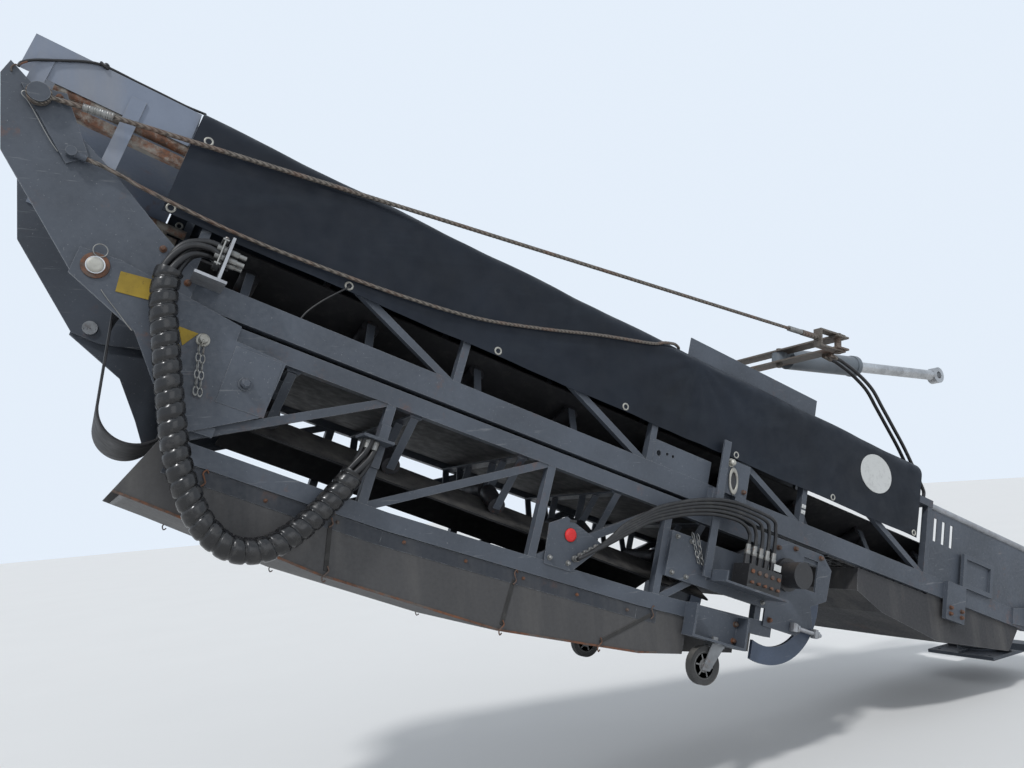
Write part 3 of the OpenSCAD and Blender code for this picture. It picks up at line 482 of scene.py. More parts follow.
def block(low, high, edge=0.0015, slope=0.0):
    """A flat bar between two corners, turned in the side view about its middle"""
    deselect()
    bpy.ops.mesh.primitive_cube_add(size=1, location=[(a + b) / 2 for a, b in zip(low, high)],
                                    rotation=(0, -slope, 0))
    bpy.context.object.scale = [b - a for a, b in zip(low, high)]
    return rounded(bpy.context.object, edge)


def strut(start, end, width, y0, y1, edge=0.0015):
    """A flat bar in the side view from start to end, each (u, v)"""
    along = Vector(end) - Vector(start)
    middle = (Vector(start) + Vector(end)) / 2
    half = along.length / 2
    return block((middle.x - half, y0, middle.y - width / 2), (middle.x + half, y1, middle.y + width / 2),
                 edge, math.atan2(along.y, along.x))


def side_plate(start, end, width, side, inner, outer, edge=0.001):
    """A flat bar on one side's face, between two distances from the middle"""
    return strut(start, end, width, *sorted((side * inner, side * outer)), edge)


def loop(centre, radius, thick, turn=(math.pi / 2, 0, 0), stretch=1.0, sides=(24, 8)):
    """A round ring, stretched along its own x"""
    deselect()
    bpy.ops.mesh.primitive_torus_add(location=centre, rotation=turn, major_radius=radius, minor_radius=thick,
                                     major_segments=sides[0], minor_segments=sides[1])
    bpy.context.object.scale = (stretch, 1.0, 1.0)
    return in_place(bpy.context.object)


def raised(obj, way, margin, height):
    """Insets the faces that look one way and lifts or sinks them"""
    pick(obj)
    bpy.ops.object.mode_set(mode="EDIT")
    bpy.ops.mesh.select_mode(type="FACE")
    bpy.ops.mesh.select_all(action="DESELECT")
    bpy.ops.object.mode_set(mode="OBJECT")
    for face in obj.data.polygons:
        face.select = face.normal.dot(Vector(way)) > 0.95
    bpy.ops.object.mode_set(mode="EDIT")
    bpy.ops.mesh.inset(thickness=margin, depth=height)
    bpy.ops.object.mode_set(mode="OBJECT")
    return obj


def drilled(obj, *tools):
    """Cuts the tools out of a plate"""
    for tool in tools:
        pick(obj)
        cut = obj.modifiers.new("hole", "BOOLEAN")
        cut.operation = "DIFFERENCE"
        cut.object = tool
        bpy.ops.object.modifier_apply(modifier=cut.name)
        bpy.data.objects.remove(tool)
    return obj


def lined(obj):
    """Takes a piece from the line's own axes to its place"""
    obj.matrix_basis = LINE @ obj.matrix_basis
    return settle(obj)


def fitted(name, slot, body, *parts, finish=None):
    """Joins the parts of one piece, puts it in its place and dresses it"""
    return dressed(lined(joined(*parts)), name, slot, body, FINISHES[finish or slot])


def copies_at(master, frames):
    """Copies of one modelled piece, each with its own mesh, in place of the first one"""
    copies = []
    for matrix in frames:
        copy = master.copy()
        copy.data = master.data.copy()
        bpy.context.scene.collection.objects.link(copy)
        copy.matrix_basis = matrix
        copies.append(copy)
    bpy.data.objects.remove(master)
    return copies


def spread(name, slot, body, master, places, finish):
    """Copies of one modelled piece at (u, y, v), each looking away from the middle"""
    frames = [Matrix.Translation((u, y, v)) @ Matrix.Rotation(math.copysign(math.pi / 2, -y), 4, "X")
              for u, y, v in places]
    return fitted(name, slot, body, *copies_at(master, frames), finish=finish)


def bolt(size):
    """A nut on its washer with the screw's end standing out, its foot at the origin"""
    washer = round_bar((0, 0, size * 0.09), size * 0.62, size * 0.18, "Z", 20, size * 0.03)
    nut = raised(round_bar((0, 0, size * 0.43), size * 0.5, size * 0.5, "Z", 6, size * 0.03),
                 (0, 0, 1), size * 0.14, size * 0.16)
    return joined(washer, nut)


def both(places):
    """The same places on the near and the far side"""
    return [(u, -y, v) for u, y, v in places] + [(u, y, v) for u, y, v in places]


def wire(points, radius):
    """A wire bent through places along, across and square to the line"""
    return swept("wire", spline([on_line(*p) for p in points], 6), lambda run, angle: radius, 8)


def chain(name, body, start, end):
    """Welded links from start to end, each turned a quarter from the last"""
    link, wide, thick = 0.026, 0.009, 0.0026
    along = Vector(end) - Vector(start)
    count = max(2, round(along.length / (link * 1.25)))
    aim = along.to_track_quat("X", "Z").to_matrix().to_4x4()
    frames = [Matrix.Translation(Vector(start) + along * (k + 0.5) / count) @ aim
              @ Matrix.Rotation(math.pi / 2 * (k % 2), 4, "X") for k in range(count)]
    master = loop((0, 0, 0), wide, thick, (0, 0, 0), link / (2 * wide) + 0.45, (16, 6))
    return fitted(name, "castor_steel", body, *copies_at(master, frames), finish="zinc")


def threaded_rod(start, end, y, v, radius, pitch):
    """A threaded rod along the line, one groove to each second turn"""
    rod = round_bar(((start + end) / 2, y, v), radius, end - start, "X", 16, 0.0015)
    count = int((end - start - 0.05) / (pitch * 2))
    grooves = [loop((start + 0.045 + pitch * 2 * k, y, v), radius, pitch * 0.45, (0, math.pi / 2, 0), 1.0,
                    (16, 4)) for k in range(count)]
    return joined(rod, *grooves)


def hose_ring(sizes):
    """How far the outer hoses' middles lie from the middle of their bundle"""
    return (sizes.bundle - sizes.hose) / 2


def arc(u, v, radius, start, end, steps):
    """Places on a bend in the side view, its angles counted up from the line"""
    angles = [math.radians(start + (end - start) * k / steps) for k in range(steps + 1)]
    return [(u + radius * math.cos(a), v + radius * math.sin(a)) for a in angles]


def band(name, path, half, thick):
    """A belt of one width along places (u, v), its lips rounded"""
    lip, flat = thick / 2 - 0.0015, half - 0.004
    columns = [-flat + 2 * flat * k / 6 for k in range(7)]
    section = [(-half, -lip)] + [(y, -thick / 2) for y in columns] + [(half, -lip), (half, lip)]
    section += [(y, thick / 2) for y in reversed(columns)] + [(-half, lip)]
    points = []
    for i, (u, v) in enumerate(path):
        ahead, behind = Vector(path[min(i + 1, len(path) - 1)]), Vector(path[max(i - 1, 0)])
        du, dv = (ahead - behind).normalized()
        points += [on_line(u - dv * off, y, v + du * off) for y, off in section]
    return outward(capped_tube(name, points, len(section)))


def outward(obj):
    """Turns every face of a closed piece to look out"""
    pick(obj)
    bpy.ops.object.mode_set(mode="EDIT")
    bpy.ops.mesh.select_all(action="SELECT")
    bpy.ops.mesh.normals_make_consistent(inside=False)
    bpy.ops.object.mode_set(mode="OBJECT")
    return obj


# Runs of the free hoses, ropes, ties and wires, in metres along, across and square to the line;
# the two lift hoses share one run, without its place across
HOSE_POINTS = [
    (0.1197, -0.620, 0.110), (0.050, -0.620, 0.110), (-0.020, -0.630, 0.065), (-0.050, -0.640, -0.040),
    (-0.030, -0.645, -0.165), (0.030, -0.650, -0.310), (0.125, -0.655, -0.525), (0.230, -0.650, -0.735),
    (0.325, -0.645, -0.865), (0.415, -0.640, -0.950), (0.535, -0.630, -0.995), (0.655, -0.615, -0.965),
    (0.755, -0.600, -0.870), (0.835, -0.585, -0.750), (0.900, -0.576, -0.620), (0.945, -0.575, -0.500),
    (0.955, -0.575, -0.450), (0.955, -0.575, -0.400),
]
ROPE_ON_ROOF = 0.7493
ROPE_POINTS = [
    (-0.4797, -0.562, 0.281), (-0.450, -0.562, 0.281), (-0.420, -0.562, 0.281), (-0.330, -0.562, 0.274),
    (-0.240, -0.560, 0.264), (0.145, -0.550, 0.252), (0.550, -0.549, 0.272), (0.950, -0.549, 0.305),
    (1.305, -0.549, 0.357), (1.650, -0.549, 0.450), (2.000, -0.549, 0.560), (2.330, -0.548, 0.650),
    (2.420, -0.538, 0.693), (2.500, -0.511, 0.727), (2.550, -0.481, 0.745), (2.600, -0.446, 0.751),
    (2.635, -0.380, ROPE_ON_ROOF), (2.645, -0.250, ROPE_ON_ROOF), (2.650, 0.0, ROPE_ON_ROOF),
]
LIFT_HOSE_POINTS = [
    (3.9303, 1.230), (3.960, 1.230), (3.990, 1.230), (4.150, 1.205), (4.310, 1.150), (4.430, 1.060),
    (4.560, 0.960), (4.700, 0.850), (4.850, 0.710), (4.930, 0.630), (4.950, 0.600), (4.950, 0.570),
    (4.950, 0.5453),
]
TRAY_HOSE_POINTS = [
    (2.330, -0.598, -0.430), (2.430, -0.612, -0.345), (2.520, -0.618, -0.275), (2.660, -0.622, -0.205),
    (2.801, -0.624, -0.150), (2.945, -0.624, -0.112), (3.089, -0.624, -0.098),
]
HEM_TIE_POINTS = [
    (0.654, -0.536, 0.246), (0.646, -0.543, 0.228), (0.605, -0.537, 0.180), (0.560, -0.524, 0.125),
    (0.522, -0.514, 0.065), (0.505, -0.506, 0.021),
]
PIN_WIRE_POINTS = [
    (-0.745, -0.556, 0.448), (-0.768, -0.5525, 0.440), (-0.770, -0.5505, 0.425), (-0.740, -0.5495, 0.408),
    (-0.690, -0.5495, 0.362), (-0.650, -0.5495, 0.324), (-0.612, -0.5495, 0.290), (-0.580, -0.5495, 0.266),
]
PLATE_WIRE_POINTS = [
    (-0.248, -0.5580, -0.192), (-0.215, -0.5592, -0.218), (-0.165, -0.5588, -0.252),
    (-0.120, -0.5586, -0.284), (-0.092, -0.5580, -0.302),
]
HOOD_TIE_POINTS = [
    (-0.824, -0.5395, 0.530), (-0.822, -0.5390, 0.552), (-0.790, -0.5300, 0.590), (-0.720, -0.5200, 0.640),
    (-0.640, -0.5190, 0.688), (-0.585, -0.5165, 0.709), (-0.530, -0.5080, 0.716), (-0.450, -0.5060, 0.7155),
    (-0.350, -0.5060, 0.7155), (-0.250, -0.5050, 0.7155), (-0.195, -0.5000, 0.722), (-0.165, -0.4700, 0.741),
]
HOOD_HOOK_POINTS = [
    (-0.836, -0.5380, 0.500), (-0.842, -0.5395, 0.515), (-0.836, -0.5410, 0.530), (-0.824, -0.5415, 0.534),
    (-0.818, -0.5410, 0.548), (-0.806, -0.5375, 0.566),
]

# Bend of a strap hook: step along, distance from the middle, step away from the strap
STRAP_HOOK_BEND = [
    (0.0, 0.5075, -0.022), (0.010, 0.5115, -0.004), (0.0, 0.5135, 0.012),
    (-0.010, 0.5145, 0.030), (0.0, 0.5115, 0.046), (0.010, 0.5070, 0.036),
]


class ConveyorColours(bpy.types.PropertyGroup):
    """Colours that an owner of the conveyor may choose"""

    frame: bpy.props.FloatVectorProperty(
        name="Frame", description="Paint of the lattice frames and plates", subtype="COLOR",
        default=(0.060, 0.071, 0.090), min=0, max=1)
    cover: bpy.props.FloatVectorProperty(
        name="Cover", description="Cloth over the carrying belt", subtype="COLOR",
        default=(0.007, 0.010, 0.016), min=0, max=1)
    hood: bpy.props.FloatVectorProperty(
        name="Hood", description="Sheets under the folded section", subtype="COLOR",
        default=(0.052, 0.051, 0.052), min=0, max=1)
    end_sheet: bpy.props.FloatVectorProperty(
        name="End sheet", description="Steel hood at the hinge end", subtype="COLOR",
        default=(0.17, 0.20, 0.26), min=0, max=1)
    belt: bpy.props.FloatVectorProperty(
        name="Belt", description="Rubber of the belt", subtype="COLOR",
        default=(0.016, 0.016, 0.018), min=0, max=1)


class CoverSizes(bpy.types.PropertyGroup):
    """How the cloth cover hangs over its bows"""

    start: bpy.props.FloatProperty(
        name="Start", description="Upper end of the cloth along the line", default=-0.168, unit="LENGTH")
    finish: bpy.props.FloatProperty(
        name="End", description="Lower end of the cloth along the line", default=4.748, unit="LENGTH")
    half: bpy.props.FloatProperty(
        name="Half width", description="From the middle to the outside of the cloth", default=0.5345,
        unit="LENGTH")
    top: bpy.props.FloatProperty(
        name="Top", description="Height of the cloth's top on the line", default=0.739, unit="LENGTH")
    shoulder: bpy.props.FloatProperty(
        name="Shoulder", description="Radius where the top turns into the sides", default=0.0885,
        unit="LENGTH")
    hem: bpy.props.FloatProperty(
        name="Hem", description="Height of the hem on the line", default=0.216, unit="LENGTH")
    sag: bpy.props.FloatProperty(
        name="Sag", description="How far the cloth sinks between two bows", default=0.008, unit="LENGTH")
    bows: bpy.props.FloatProperty(
        name="Bow spacing", description="Distance between two bows", default=0.800, unit="LENGTH")


class HoseSizes(bpy.types.PropertyGroup):
    """The bundle of hoses that crosses the hinge"""

    bundle: bpy.props.FloatProperty(
        name="Bundle", description="Diameter over all the hoses of the bundle", default=0.084, unit="LENGTH")
    hose: bpy.props.FloatProperty(
        name="Hose", description="Diameter of one hose", default=0.028, unit="LENGTH")
    guard: bpy.props.FloatProperty(
        name="Guard", description="Outer diameter of the spiral guard", default=0.108, unit="LENGTH")
    pitch: bpy.props.FloatProperty(
        name="Pitch", description="Length of one turn of the guard", default=0.056, unit="LENGTH")


class StageSettings(bpy.types.PropertyGroup):
    """Floor, light and the photograph's camera"""

    floor: bpy.props.FloatVectorProperty(
        name="Floor", description="Colour of the floor and backdrop", subtype="COLOR",
        default=(0.80, 0.80, 0.79), min=0, max=1)
    floor_height: bpy.props.FloatProperty(
        name="Floor height", description="Height of the floor under the conveyor", default=-0.169,
        unit="LENGTH")
    sun: bpy.props.FloatProperty(
        name="Sun", description="Strength of the main light", default=1.55, min=0)
    sky: bpy.props.FloatProperty(
        name="Sky", description="Strength of the light from all round", default=0.60, min=0)
    camera: bpy.props.FloatVectorProperty(
        name="Camera", description="Place of the camera", default=(-6.267, -3.859, 1.500),
        subtype="TRANSLATION")
    lens: bpy.props.FloatProperty(
        name="Lens", description="Focal length on a 36 mm wide picture", default=27.39, unit="CAMERA")


class CONVEYOR_OT_stage(bpy.types.Operator):
    """Sets the camera, the floor and the lights"""

    bl_idname = "conveyor.stage"
    bl_label = "Stage"

    def execute(self, context):
        stage = context.scene.conveyor_stage
        camera = bpy.data.cameras.new("camera")
        camera.lens = stage.lens
        camera.sensor_width = 36.0
        camera.clip_end = 200.0
        held = bpy.data.objects.new("camera", camera)
        # The camera's own axes in the world, as solved from the photograph
        right = Vector((0.8708, -0.4850, -0.0804))
        up = Vector((-0.0004, -0.1643, 0.9864))
        back = right.cross(up)
        turn = Matrix((right, up, back)).transposed().to_4x4()
        held.matrix_world = Matrix.Translation(Vector(stage.camera)) @ turn
        context.scene.collection.objects.link(held)
        context.scene.camera = held

        deselect()
        bpy.ops.mesh.primitive_plane_add(size=120, location=(-2.0, 0.0, stage.floor_height))
        floor = settle(context.object)
        floor.name = "floor"
        f = Finish("floor", 0.85)
        f.use("Base Color", f.blend(f.noise(0.8, 3.0), tuple(stage.floor), darker(stage.floor, 0.96)))
        floor.data.materials.append(f.material)

        world = bpy.data.worlds.new("sky")
        world.use_nodes = True
        tree = world.node_tree
        light = tree.nodes["Background"]
        light.inputs["Color"].default_value = (0.86, 0.92, 1.0, 1.0)
        light.inputs["Strength"].default_value = stage.sky
        seen = tree.nodes.new("ShaderNodeBackground")
        seen.inputs["Color"].default_value = (0.78, 0.86, 0.96, 1.0)
        seen.inputs["Strength"].default_value = 1.0
        rays = tree.nodes.new("ShaderNodeLightPath")
        mix = tree.nodes.new("ShaderNodeMixShader")
        either, shown = tree.nodes.new("ShaderNodeMath"), tree.nodes.new("ShaderNodeMath")
        either.operation = shown.operation = "ADD"
        shown.use_clamp = True
        tree.links.new(rays.outputs["Is Camera Ray"], either.inputs[0])
        tree.links.new(rays.outputs["Is Glossy Ray"], either.inputs[1])
        tree.links.new(either.outputs[0], shown.inputs[0])
        tree.links.new(rays.outputs["Is Transmission Ray"], shown.inputs[1])
        tree.links.new(shown.outputs[0], mix.inputs["Fac"])
        tree.links.new(light.outputs[0], mix.inputs[1])
        tree.links.new(seen.outputs[0], mix.inputs[2])
        tree.links.new(mix.outputs[0], tree.nodes["World Output"].inputs["Surface"])
        context.scene.world = world

        for name, strength, width, aim in (("sun", stage.sun, 6.0, (0.62, 0.42, -0.9)),
                                           ("fill", 0.30, 40.0, (-0.2, 0.95, -0.25))):
            lamp = bpy.data.lights.new(name, "SUN")
            lamp.energy = strength
            lamp.angle = math.radians(width)
            hung = bpy.data.objects.new(name, lamp)
            hung.rotation_euler = Vector(aim).to_track_quat("-Z", "Y").to_euler()
            context.scene.collection.objects.link(hung)
        context.scene.view_settings.view_transform = "Standard"
        return {"FINISHED"}


class CONVEYOR_OT_finishes(bpy.types.Operator):
    """Gives every solid of the frame the finish of its material slot"""

    bl_idname = "conveyor.finishes"
    bl_label = "Paint and metal"

    def execute(self, context):
        FINISHES.update(paint_by_slot(context.scene.conveyor_colours))
        for name, obj in NODES.items():
            if name not in SLOT_OF:
                raise RuntimeError("no material slot for " + name)
            obj.data.materials.clear()
            obj.data.materials.append(FINISHES[SLOT_OF[name]])
        return {"FINISHED"}


class CONVEYOR_OT_hinge_hoses(bpy.types.Operator):
    """Bundle of hoses round the hinge, with its spiral guard"""

    bl_idname = "conveyor.hinge_hoses"
    bl_label = "Hinge hoses"

    def execute(self, context):
        sizes = context.scene.conveyor_hoses
        path = spline([on_line(*p) for p in HOSE_POINTS], 16)
        lay = 0.9
        ring = hose_ring(sizes)
        hoses = []
        for k in range(OUTER_HOSES):
            start = 2 * math.pi * k / OUTER_HOSES

            def off_centre(run, start=start):
                turn = start + 2 * math.pi * run / lay
                return ring * math.cos(turn), ring * math.sin(turn)
            hoses.append(swept("hose", path, lambda run, angle: sizes.hose / 2, 12, off_centre))
        hoses.append(swept("hose", path, lambda run, angle: sizes.hose / 2, 12))
        bundle = dressed(joined(*hoses), "hinge_hose_bundle", "hose_rubber")

        groove, deep, crown = 0.17, 0.0075, 0.0035

        def guard_wall(run, angle):
            phase = (run / sizes.pitch - angle / (2 * math.pi)) % 1.0
            if phase < groove:
                return sizes.guard / 2 - deep
            across = (phase - groove) / (1 - groove) * 2 - 1
            return sizes.guard / 2 - crown * across ** 4
        guard_top, guard_foot = -0.045, -0.560
        fine = spline([on_line(*p) for p in HOSE_POINTS], 40)
        heights = [(LINE.inverted() @ p).z for p in fine]
        first = next(i for i, v in enumerate(heights) if v < guard_top)
        last = max(i for i, v in enumerate(heights) if v < guard_foot)
        guard = swept("guard", fine[first:last], guard_wall, 28)
        dressed(guard, "hinge_hose_guard", "hose_guard")
        start, end = on_line(0.0, -0.62, -0.05), on_line(0.17, -0.62, -0.62)
        for piece in (bundle, guard):
            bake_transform(piece)
        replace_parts(bundle, "hose_loop")
        return {"FINISHED"}


class CONVEYOR_OT_slack_rope(bpy.types.Operator):
    """Slack rope from the hinge end over the cover's roof and down the far side"""

    bl_idname = "conveyor.slack_rope"
    bl_label = "Slack rope"

    def execute(self, context):
        far = [(u, -y, v) for u, y, v in reversed(ROPE_POINTS[:-1])]
        path = spline([on_line(*p) for p in ROPE_POINTS + far], 8)
        half, pitch = 0.009, 0.11
        rope = swept("rope", path, laid_strands(half, STRAND_DEEP, STRANDS, pitch), 24)
        dressed(rope, "slack_rope_strands", "rope_steel", "main_section")
        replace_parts(rope, "slack_rope")
        return {"FINISHED"}


class CONVEYOR_OT_lift_hoses(bpy.types.Operator):
    """Two hoses from the yoke down to the hopper's rail"""

    bl_idname = "conveyor.lift_hoses"
    bl_label = "Lift hoses"

    def execute(self, context):
        half = 0.012
        for name, y in (("left", -0.420), ("right", -0.375)):
            hose, path = round_lead("lift_hose_line_" + name, "hose_rubber", "main_section",
                                    [(u, y, v) for u, v in LIFT_HOSE_POINTS], half, 14)
            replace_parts(hose, "lift_hose_" + name)
        return {"FINISHED"}


def cover_outline(cover):
    """Points (y, v) round the cloth's section from the near hem to the far hem, with the way out"""
    across = []
    side_steps, arc_steps, top_steps = 18, 10, 34
    low, turn = cover.hem, cover.top - cover.shoulder
    for k in range(side_steps):
        across.append((-cover.half, low + (turn - low) * k / side_steps, -1.0, 0.0))
    for k in range(arc_steps):
        a = math.pi / 2 * k / arc_steps
        across.append((-cover.half + cover.shoulder * (1 - math.cos(a)),
                       turn + cover.shoulder * math.sin(a), -math.cos(a), math.sin(a)))
    flat = cover.half - cover.shoulder
    for k in range(top_steps // 2):
        across.append((-flat + flat * k / (top_steps // 2), cover.top, 0.0, 1.0))
    return across + [(0.0, cover.top, 0.0, 1.0)] + [(-y, v, -oy, ov) for y, v, oy, ov in reversed(across)]


class CONVEYOR_OT_cover(bpy.types.Operator):
    """Cloth cover over the bows, sagging between them, with its hem"""

    bl_idname = "conveyor.cover"
    bl_label = "Cover"

    def execute(self, context):
        cover = context.scene.conveyor_cover
        section = cover_outline(cover)
        columns = 240
        fan_u, fan_v = 2.70, 0.70
        loose_from, loose_over = 0.62, 0.42
        reach = cover.finish - cover.start
        points, faces = [], []
        for i in range(columns + 1):
            u = cover.start + reach * i / columns
            bay = 0.5 - 0.5 * math.cos(2 * math.pi * (u + 0.06) / cover.bows)
            for y, v, out_y, out_v in section:
                side = abs(out_y)
                low = max(0.0, (loose_from - v) / loose_over) * side
                drag = math.sin(19.0 * u + 11.0 * v + (3.0 if y > 0 else 0.0)) * math.sin(5.3 * u - 7.0 * v)
                sink = cover.sag * bay * (1 - 0.45 * side) + 0.0022 * low * (1 + drag)
                wave = 0.006 * low ** 3 * math.sin(2 * math.pi * (u + 0.15) / 0.8 + 1.2)
                lift = wave + 0.010 * low ** 4 * bay
                away = math.hypot(u - fan_u, v - fan_v)
                fan = 0.0045 * math.exp(-(away / 0.55) ** 2) * min(1.0, away / 0.15)
                crease = side * fan * (1 + math.sin(15 * math.atan2(v - fan_v, u - fan_u)))
                sink = sink + (0.0016 * drag * bay + crease)
                points.append(on_line(u, y - out_y * sink, v - out_v * sink + lift))
        n = len(section)
        for i in range(columns):
            for k in range(n - 1):
                faces.append((i * n + k, i * n + k + 1, (i + 1) * n + k + 1, (i + 1) * n + k))
        cloth = mesh_piece("cloth", points, faces)
        thick = cloth.modifiers.new("thickness", "SOLIDIFY")
        thick.thickness = 0.0024
        thick.offset = -1
        settle(cloth)
        dressed(cloth, "cover_cloth", "tarpaulin", "main_section", smooth=60)
        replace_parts(cloth, "main_cover")
        return {"FINISHED"}


class CONVEYOR_OT_cover_trim(bpy.types.Operator):
    """Eyelets along the cover's hems, their ties, the clips and the blank oval patch"""

    bl_idname = "conveyor.cover_trim"
    bl_label = "Cover trim"

    def execute(self, context):
        cover = context.scene.conveyor_cover
        ring = loop((0, 0, 0), 0.0165, 0.0052, (0, 0, 0))
        hem_places, hem_height = (-0.14, 0.654, 1.451, 2.259, 3.080, 3.914, 4.715), 0.246
        eyelets = [(u, cover.half - 0.0022, hem_height) for u in hem_places]
        eyelets.append((-0.1085, cover.half - 0.0012, 0.595))
        spread("cover_eyelets", "castor_steel", "main_section", ring, both(eyelets), "pale_steel")
        patch_u, widening = 4.29, 0.22
        patch = round_bar((patch_u, -cover.half + 0.0006, 0.52), 0.125, 0.0050, "Y", 48, 0.0006)
        patch.scale = (1 + widening, 1.0, 1.0)
        patch.location.x = -patch_u * widening
        in_place(patch)
        fitted("oval_patch", "guard_steel", "main_section", raised(patch, (0, -1, 0), 0.006, -0.0004),
               finish="blank_white")
        clip = joined(block((-0.016, -0.012, 0), (0.016, 0.012, 0.006)),
                      round_bar((0, 0, 0.008), 0.007, 0.006, "Z", 16, 0.001))
        spread("white_clips", "guard_steel", "main_section", clip,
               [(3.690, -0.516, 0.085), (3.690, -0.516, 0.120)], "blank_white")
        half = 0.004
        tie, path = round_lead("hem_tie", "hose_rubber", "main_section", HEM_TIE_POINTS, half, 10, 6)
        return {"FINISHED"}


class CONVEYOR_OT_belt_turns(bpy.types.Operator):
    """Both strands of the belt where they turn and bend at the hinge"""

    bl_idname = "conveyor.belt_turns"
    bl_label = "Belt turns"

    def execute(self, context):
        carry = arc(*TURN_ROLLER, 0.245, 90, 195, 26)
        foot = carry[-1]
        bag = arc(0.037, -0.560, 0.145, 195, 360, 30)
        steps = 8
        carry += [(foot[0] + (bag[0][0] - foot[0]) * k / steps, foot[1] + (bag[0][1] - foot[1]) * k / steps)
                  for k in range(1, steps)] + bag + [(0.182, -0.520)]
        carry += arc(0.307, -0.480, 0.125, 180, 90, 18) + [(0.3397, -0.355)]
        strand = dressed(band("carrying", carry, BELT_HALF, BELT_THICK), "belt_carrying_turn", "belt_rubber")
        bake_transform(strand)
        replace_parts(strand, "belt_fold_loop")
        back = arc(*TURN_ROLLER, 0.055, 90, 270, 28)
        strand = dressed(band("return", back, BELT_HALF, BELT_THICK), "belt_return_turn", "belt_rubber")
        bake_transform(strand)
        return {"FINISHED"}


class CONVEYOR_OT_apron(bpy.types.Operator):
    """Rubber strips that close the hopper, under their clamp bar"""

    bl_idname = "conveyor.apron"
    bl_label = "Hopper apron"

    def execute(self, context):
        low, high, end, half = 0.121, 0.469, 6.2498, 0.4955
        strip_count, nut_count, nut_pitch = 8, 8, 0.125
        wide = 2 * half / strip_count
        strips = []
        for k in range(strip_count):
            near = -half + k * wide
            shift = 0.0022 * (k % 2)
            strips.append(block((end - 0.0078 + shift, near + 0.001, low + 0.004 * (k % 3)),
                                (end - 0.0022 + shift, near + wide + 0.006, high), 0.001))
        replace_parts(fitted("apron_strips", "belt_rubber", "main_section", *strips), "hopper_apron")
        bar = raised(block((end - 0.020, -half, high - 0.050), (end - 0.0078, half, high), 0.002),
                     (-1, 0, 0), 0.006, 0.0015)
        nuts = [round_bar((end - 0.026, -half + 0.06 + nut_pitch * k, high - 0.025), 0.011, 0.009,
                          "X", 6, 0.0006) for k in range(nut_count)]
        fitted("apron_clamp", "frame_paint", "main_section", bar, *nuts)
        return {"FINISHED"}


class CONVEYOR_OT_stay_strands(bpy.types.Operator):
    """The stay ropes' strands, their ferrules, and the wire rings at the upper pins"""

    bl_idname = "conveyor.stay_strands"
    bl_label = "Stay strands"

    def execute(self, context):
        pin_u, pin_v = UPPER_PIN
        pin = on_line(pin_u, 0.0, pin_v)
        reach, stay_y, yoke_half = 4.630, 0.570, 0.500
        drift = math.atan((stay_y - yoke_half) / reach)
        along = Vector((math.cos(ROPE_FALL), 0.0, -math.sin(ROPE_FALL)))
        crown, pitch = 0.0108, 0.13
        ropes, ferrules = [], []
        for side in (-1, 1):
            def run_between(start, end, steps, side=side):
                places = []
                for k in range(steps + 1):
                    run = start + (end - start) * k / steps
                    across = side * (stay_y - run * math.sin(drift))
                    places.append(pin + along * run * math.cos(drift) + Vector((0.0, across, 0.0)))
                return places
            ropes.append(swept("strands", run_between(0.062, 4.262, 420),
                               laid_strands(crown, STRAND_DEEP, STRANDS, pitch), 24))
            for start, end in ((0.150, 0.262), (4.16, 4.275)):
                ferrules.append(swept("ferrule", run_between(start, end, 30),
                                      lambda run, angle: 0.0165 + 0.0012 * math.cos(run * 700), 20))
        dressed(joined(*ropes), "stay_rope_strands", "rope_steel", "stays")
        dressed(joined(*ferrules), "stay_ferrules", "castor_steel", "stays", FINISHES["zinc"])
        rings = []
        for y in (-1, 1):
            for k in range(4):
                rings.append(loop((pin_u, y * (0.5495 + 0.0028 * k), pin_v), 0.0285 + 0.001 * (k % 2),
                                  WIRE_HALF, (math.pi / 2, 0.12 * (k - 1.5), 0)))
        fitted("pin_wire_rings", "castor_steel", "main_section", *rings, finish="zinc")
        lead, path = round_lead("pin_wire", "castor_steel", "main_section", PIN_WIRE_POINTS,
                                WIRE_HALF, 8, 6, "zinc")
        return {"FINISHED"}


class CONVEYOR_OT_hood_tie(bpy.types.Operator):
    """Elastic tie from the hinge plate over the end hood's edge to the cover, with its hook"""

    bl_idname = "conveyor.hood_tie"
    bl_label = "Hood tie"

    def execute(self, context):
        half = 0.0055
        tie, path = round_lead("hood_tie_cord", "hose_rubber", "main_section", HOOD_TIE_POINTS, half, 12)
        hook = dressed(wire(HOOD_HOOK_POINTS, 0.0035), "hood_tie_hook", "castor_steel", "main_section",
                       FINISHES["rusty_steel"])
        knot = fitted("hood_tie_knot", "hose_rubber", "main_section",
                      loop((-0.580, -0.5170, 0.711), 0.010, 0.0065, (0.4, 0.5, 0.2)),
                      loop((-0.566, -0.5140, 0.714), 0.009, 0.006, (1.3, 0.2, 0.7)))
        return {"FINISHED"}


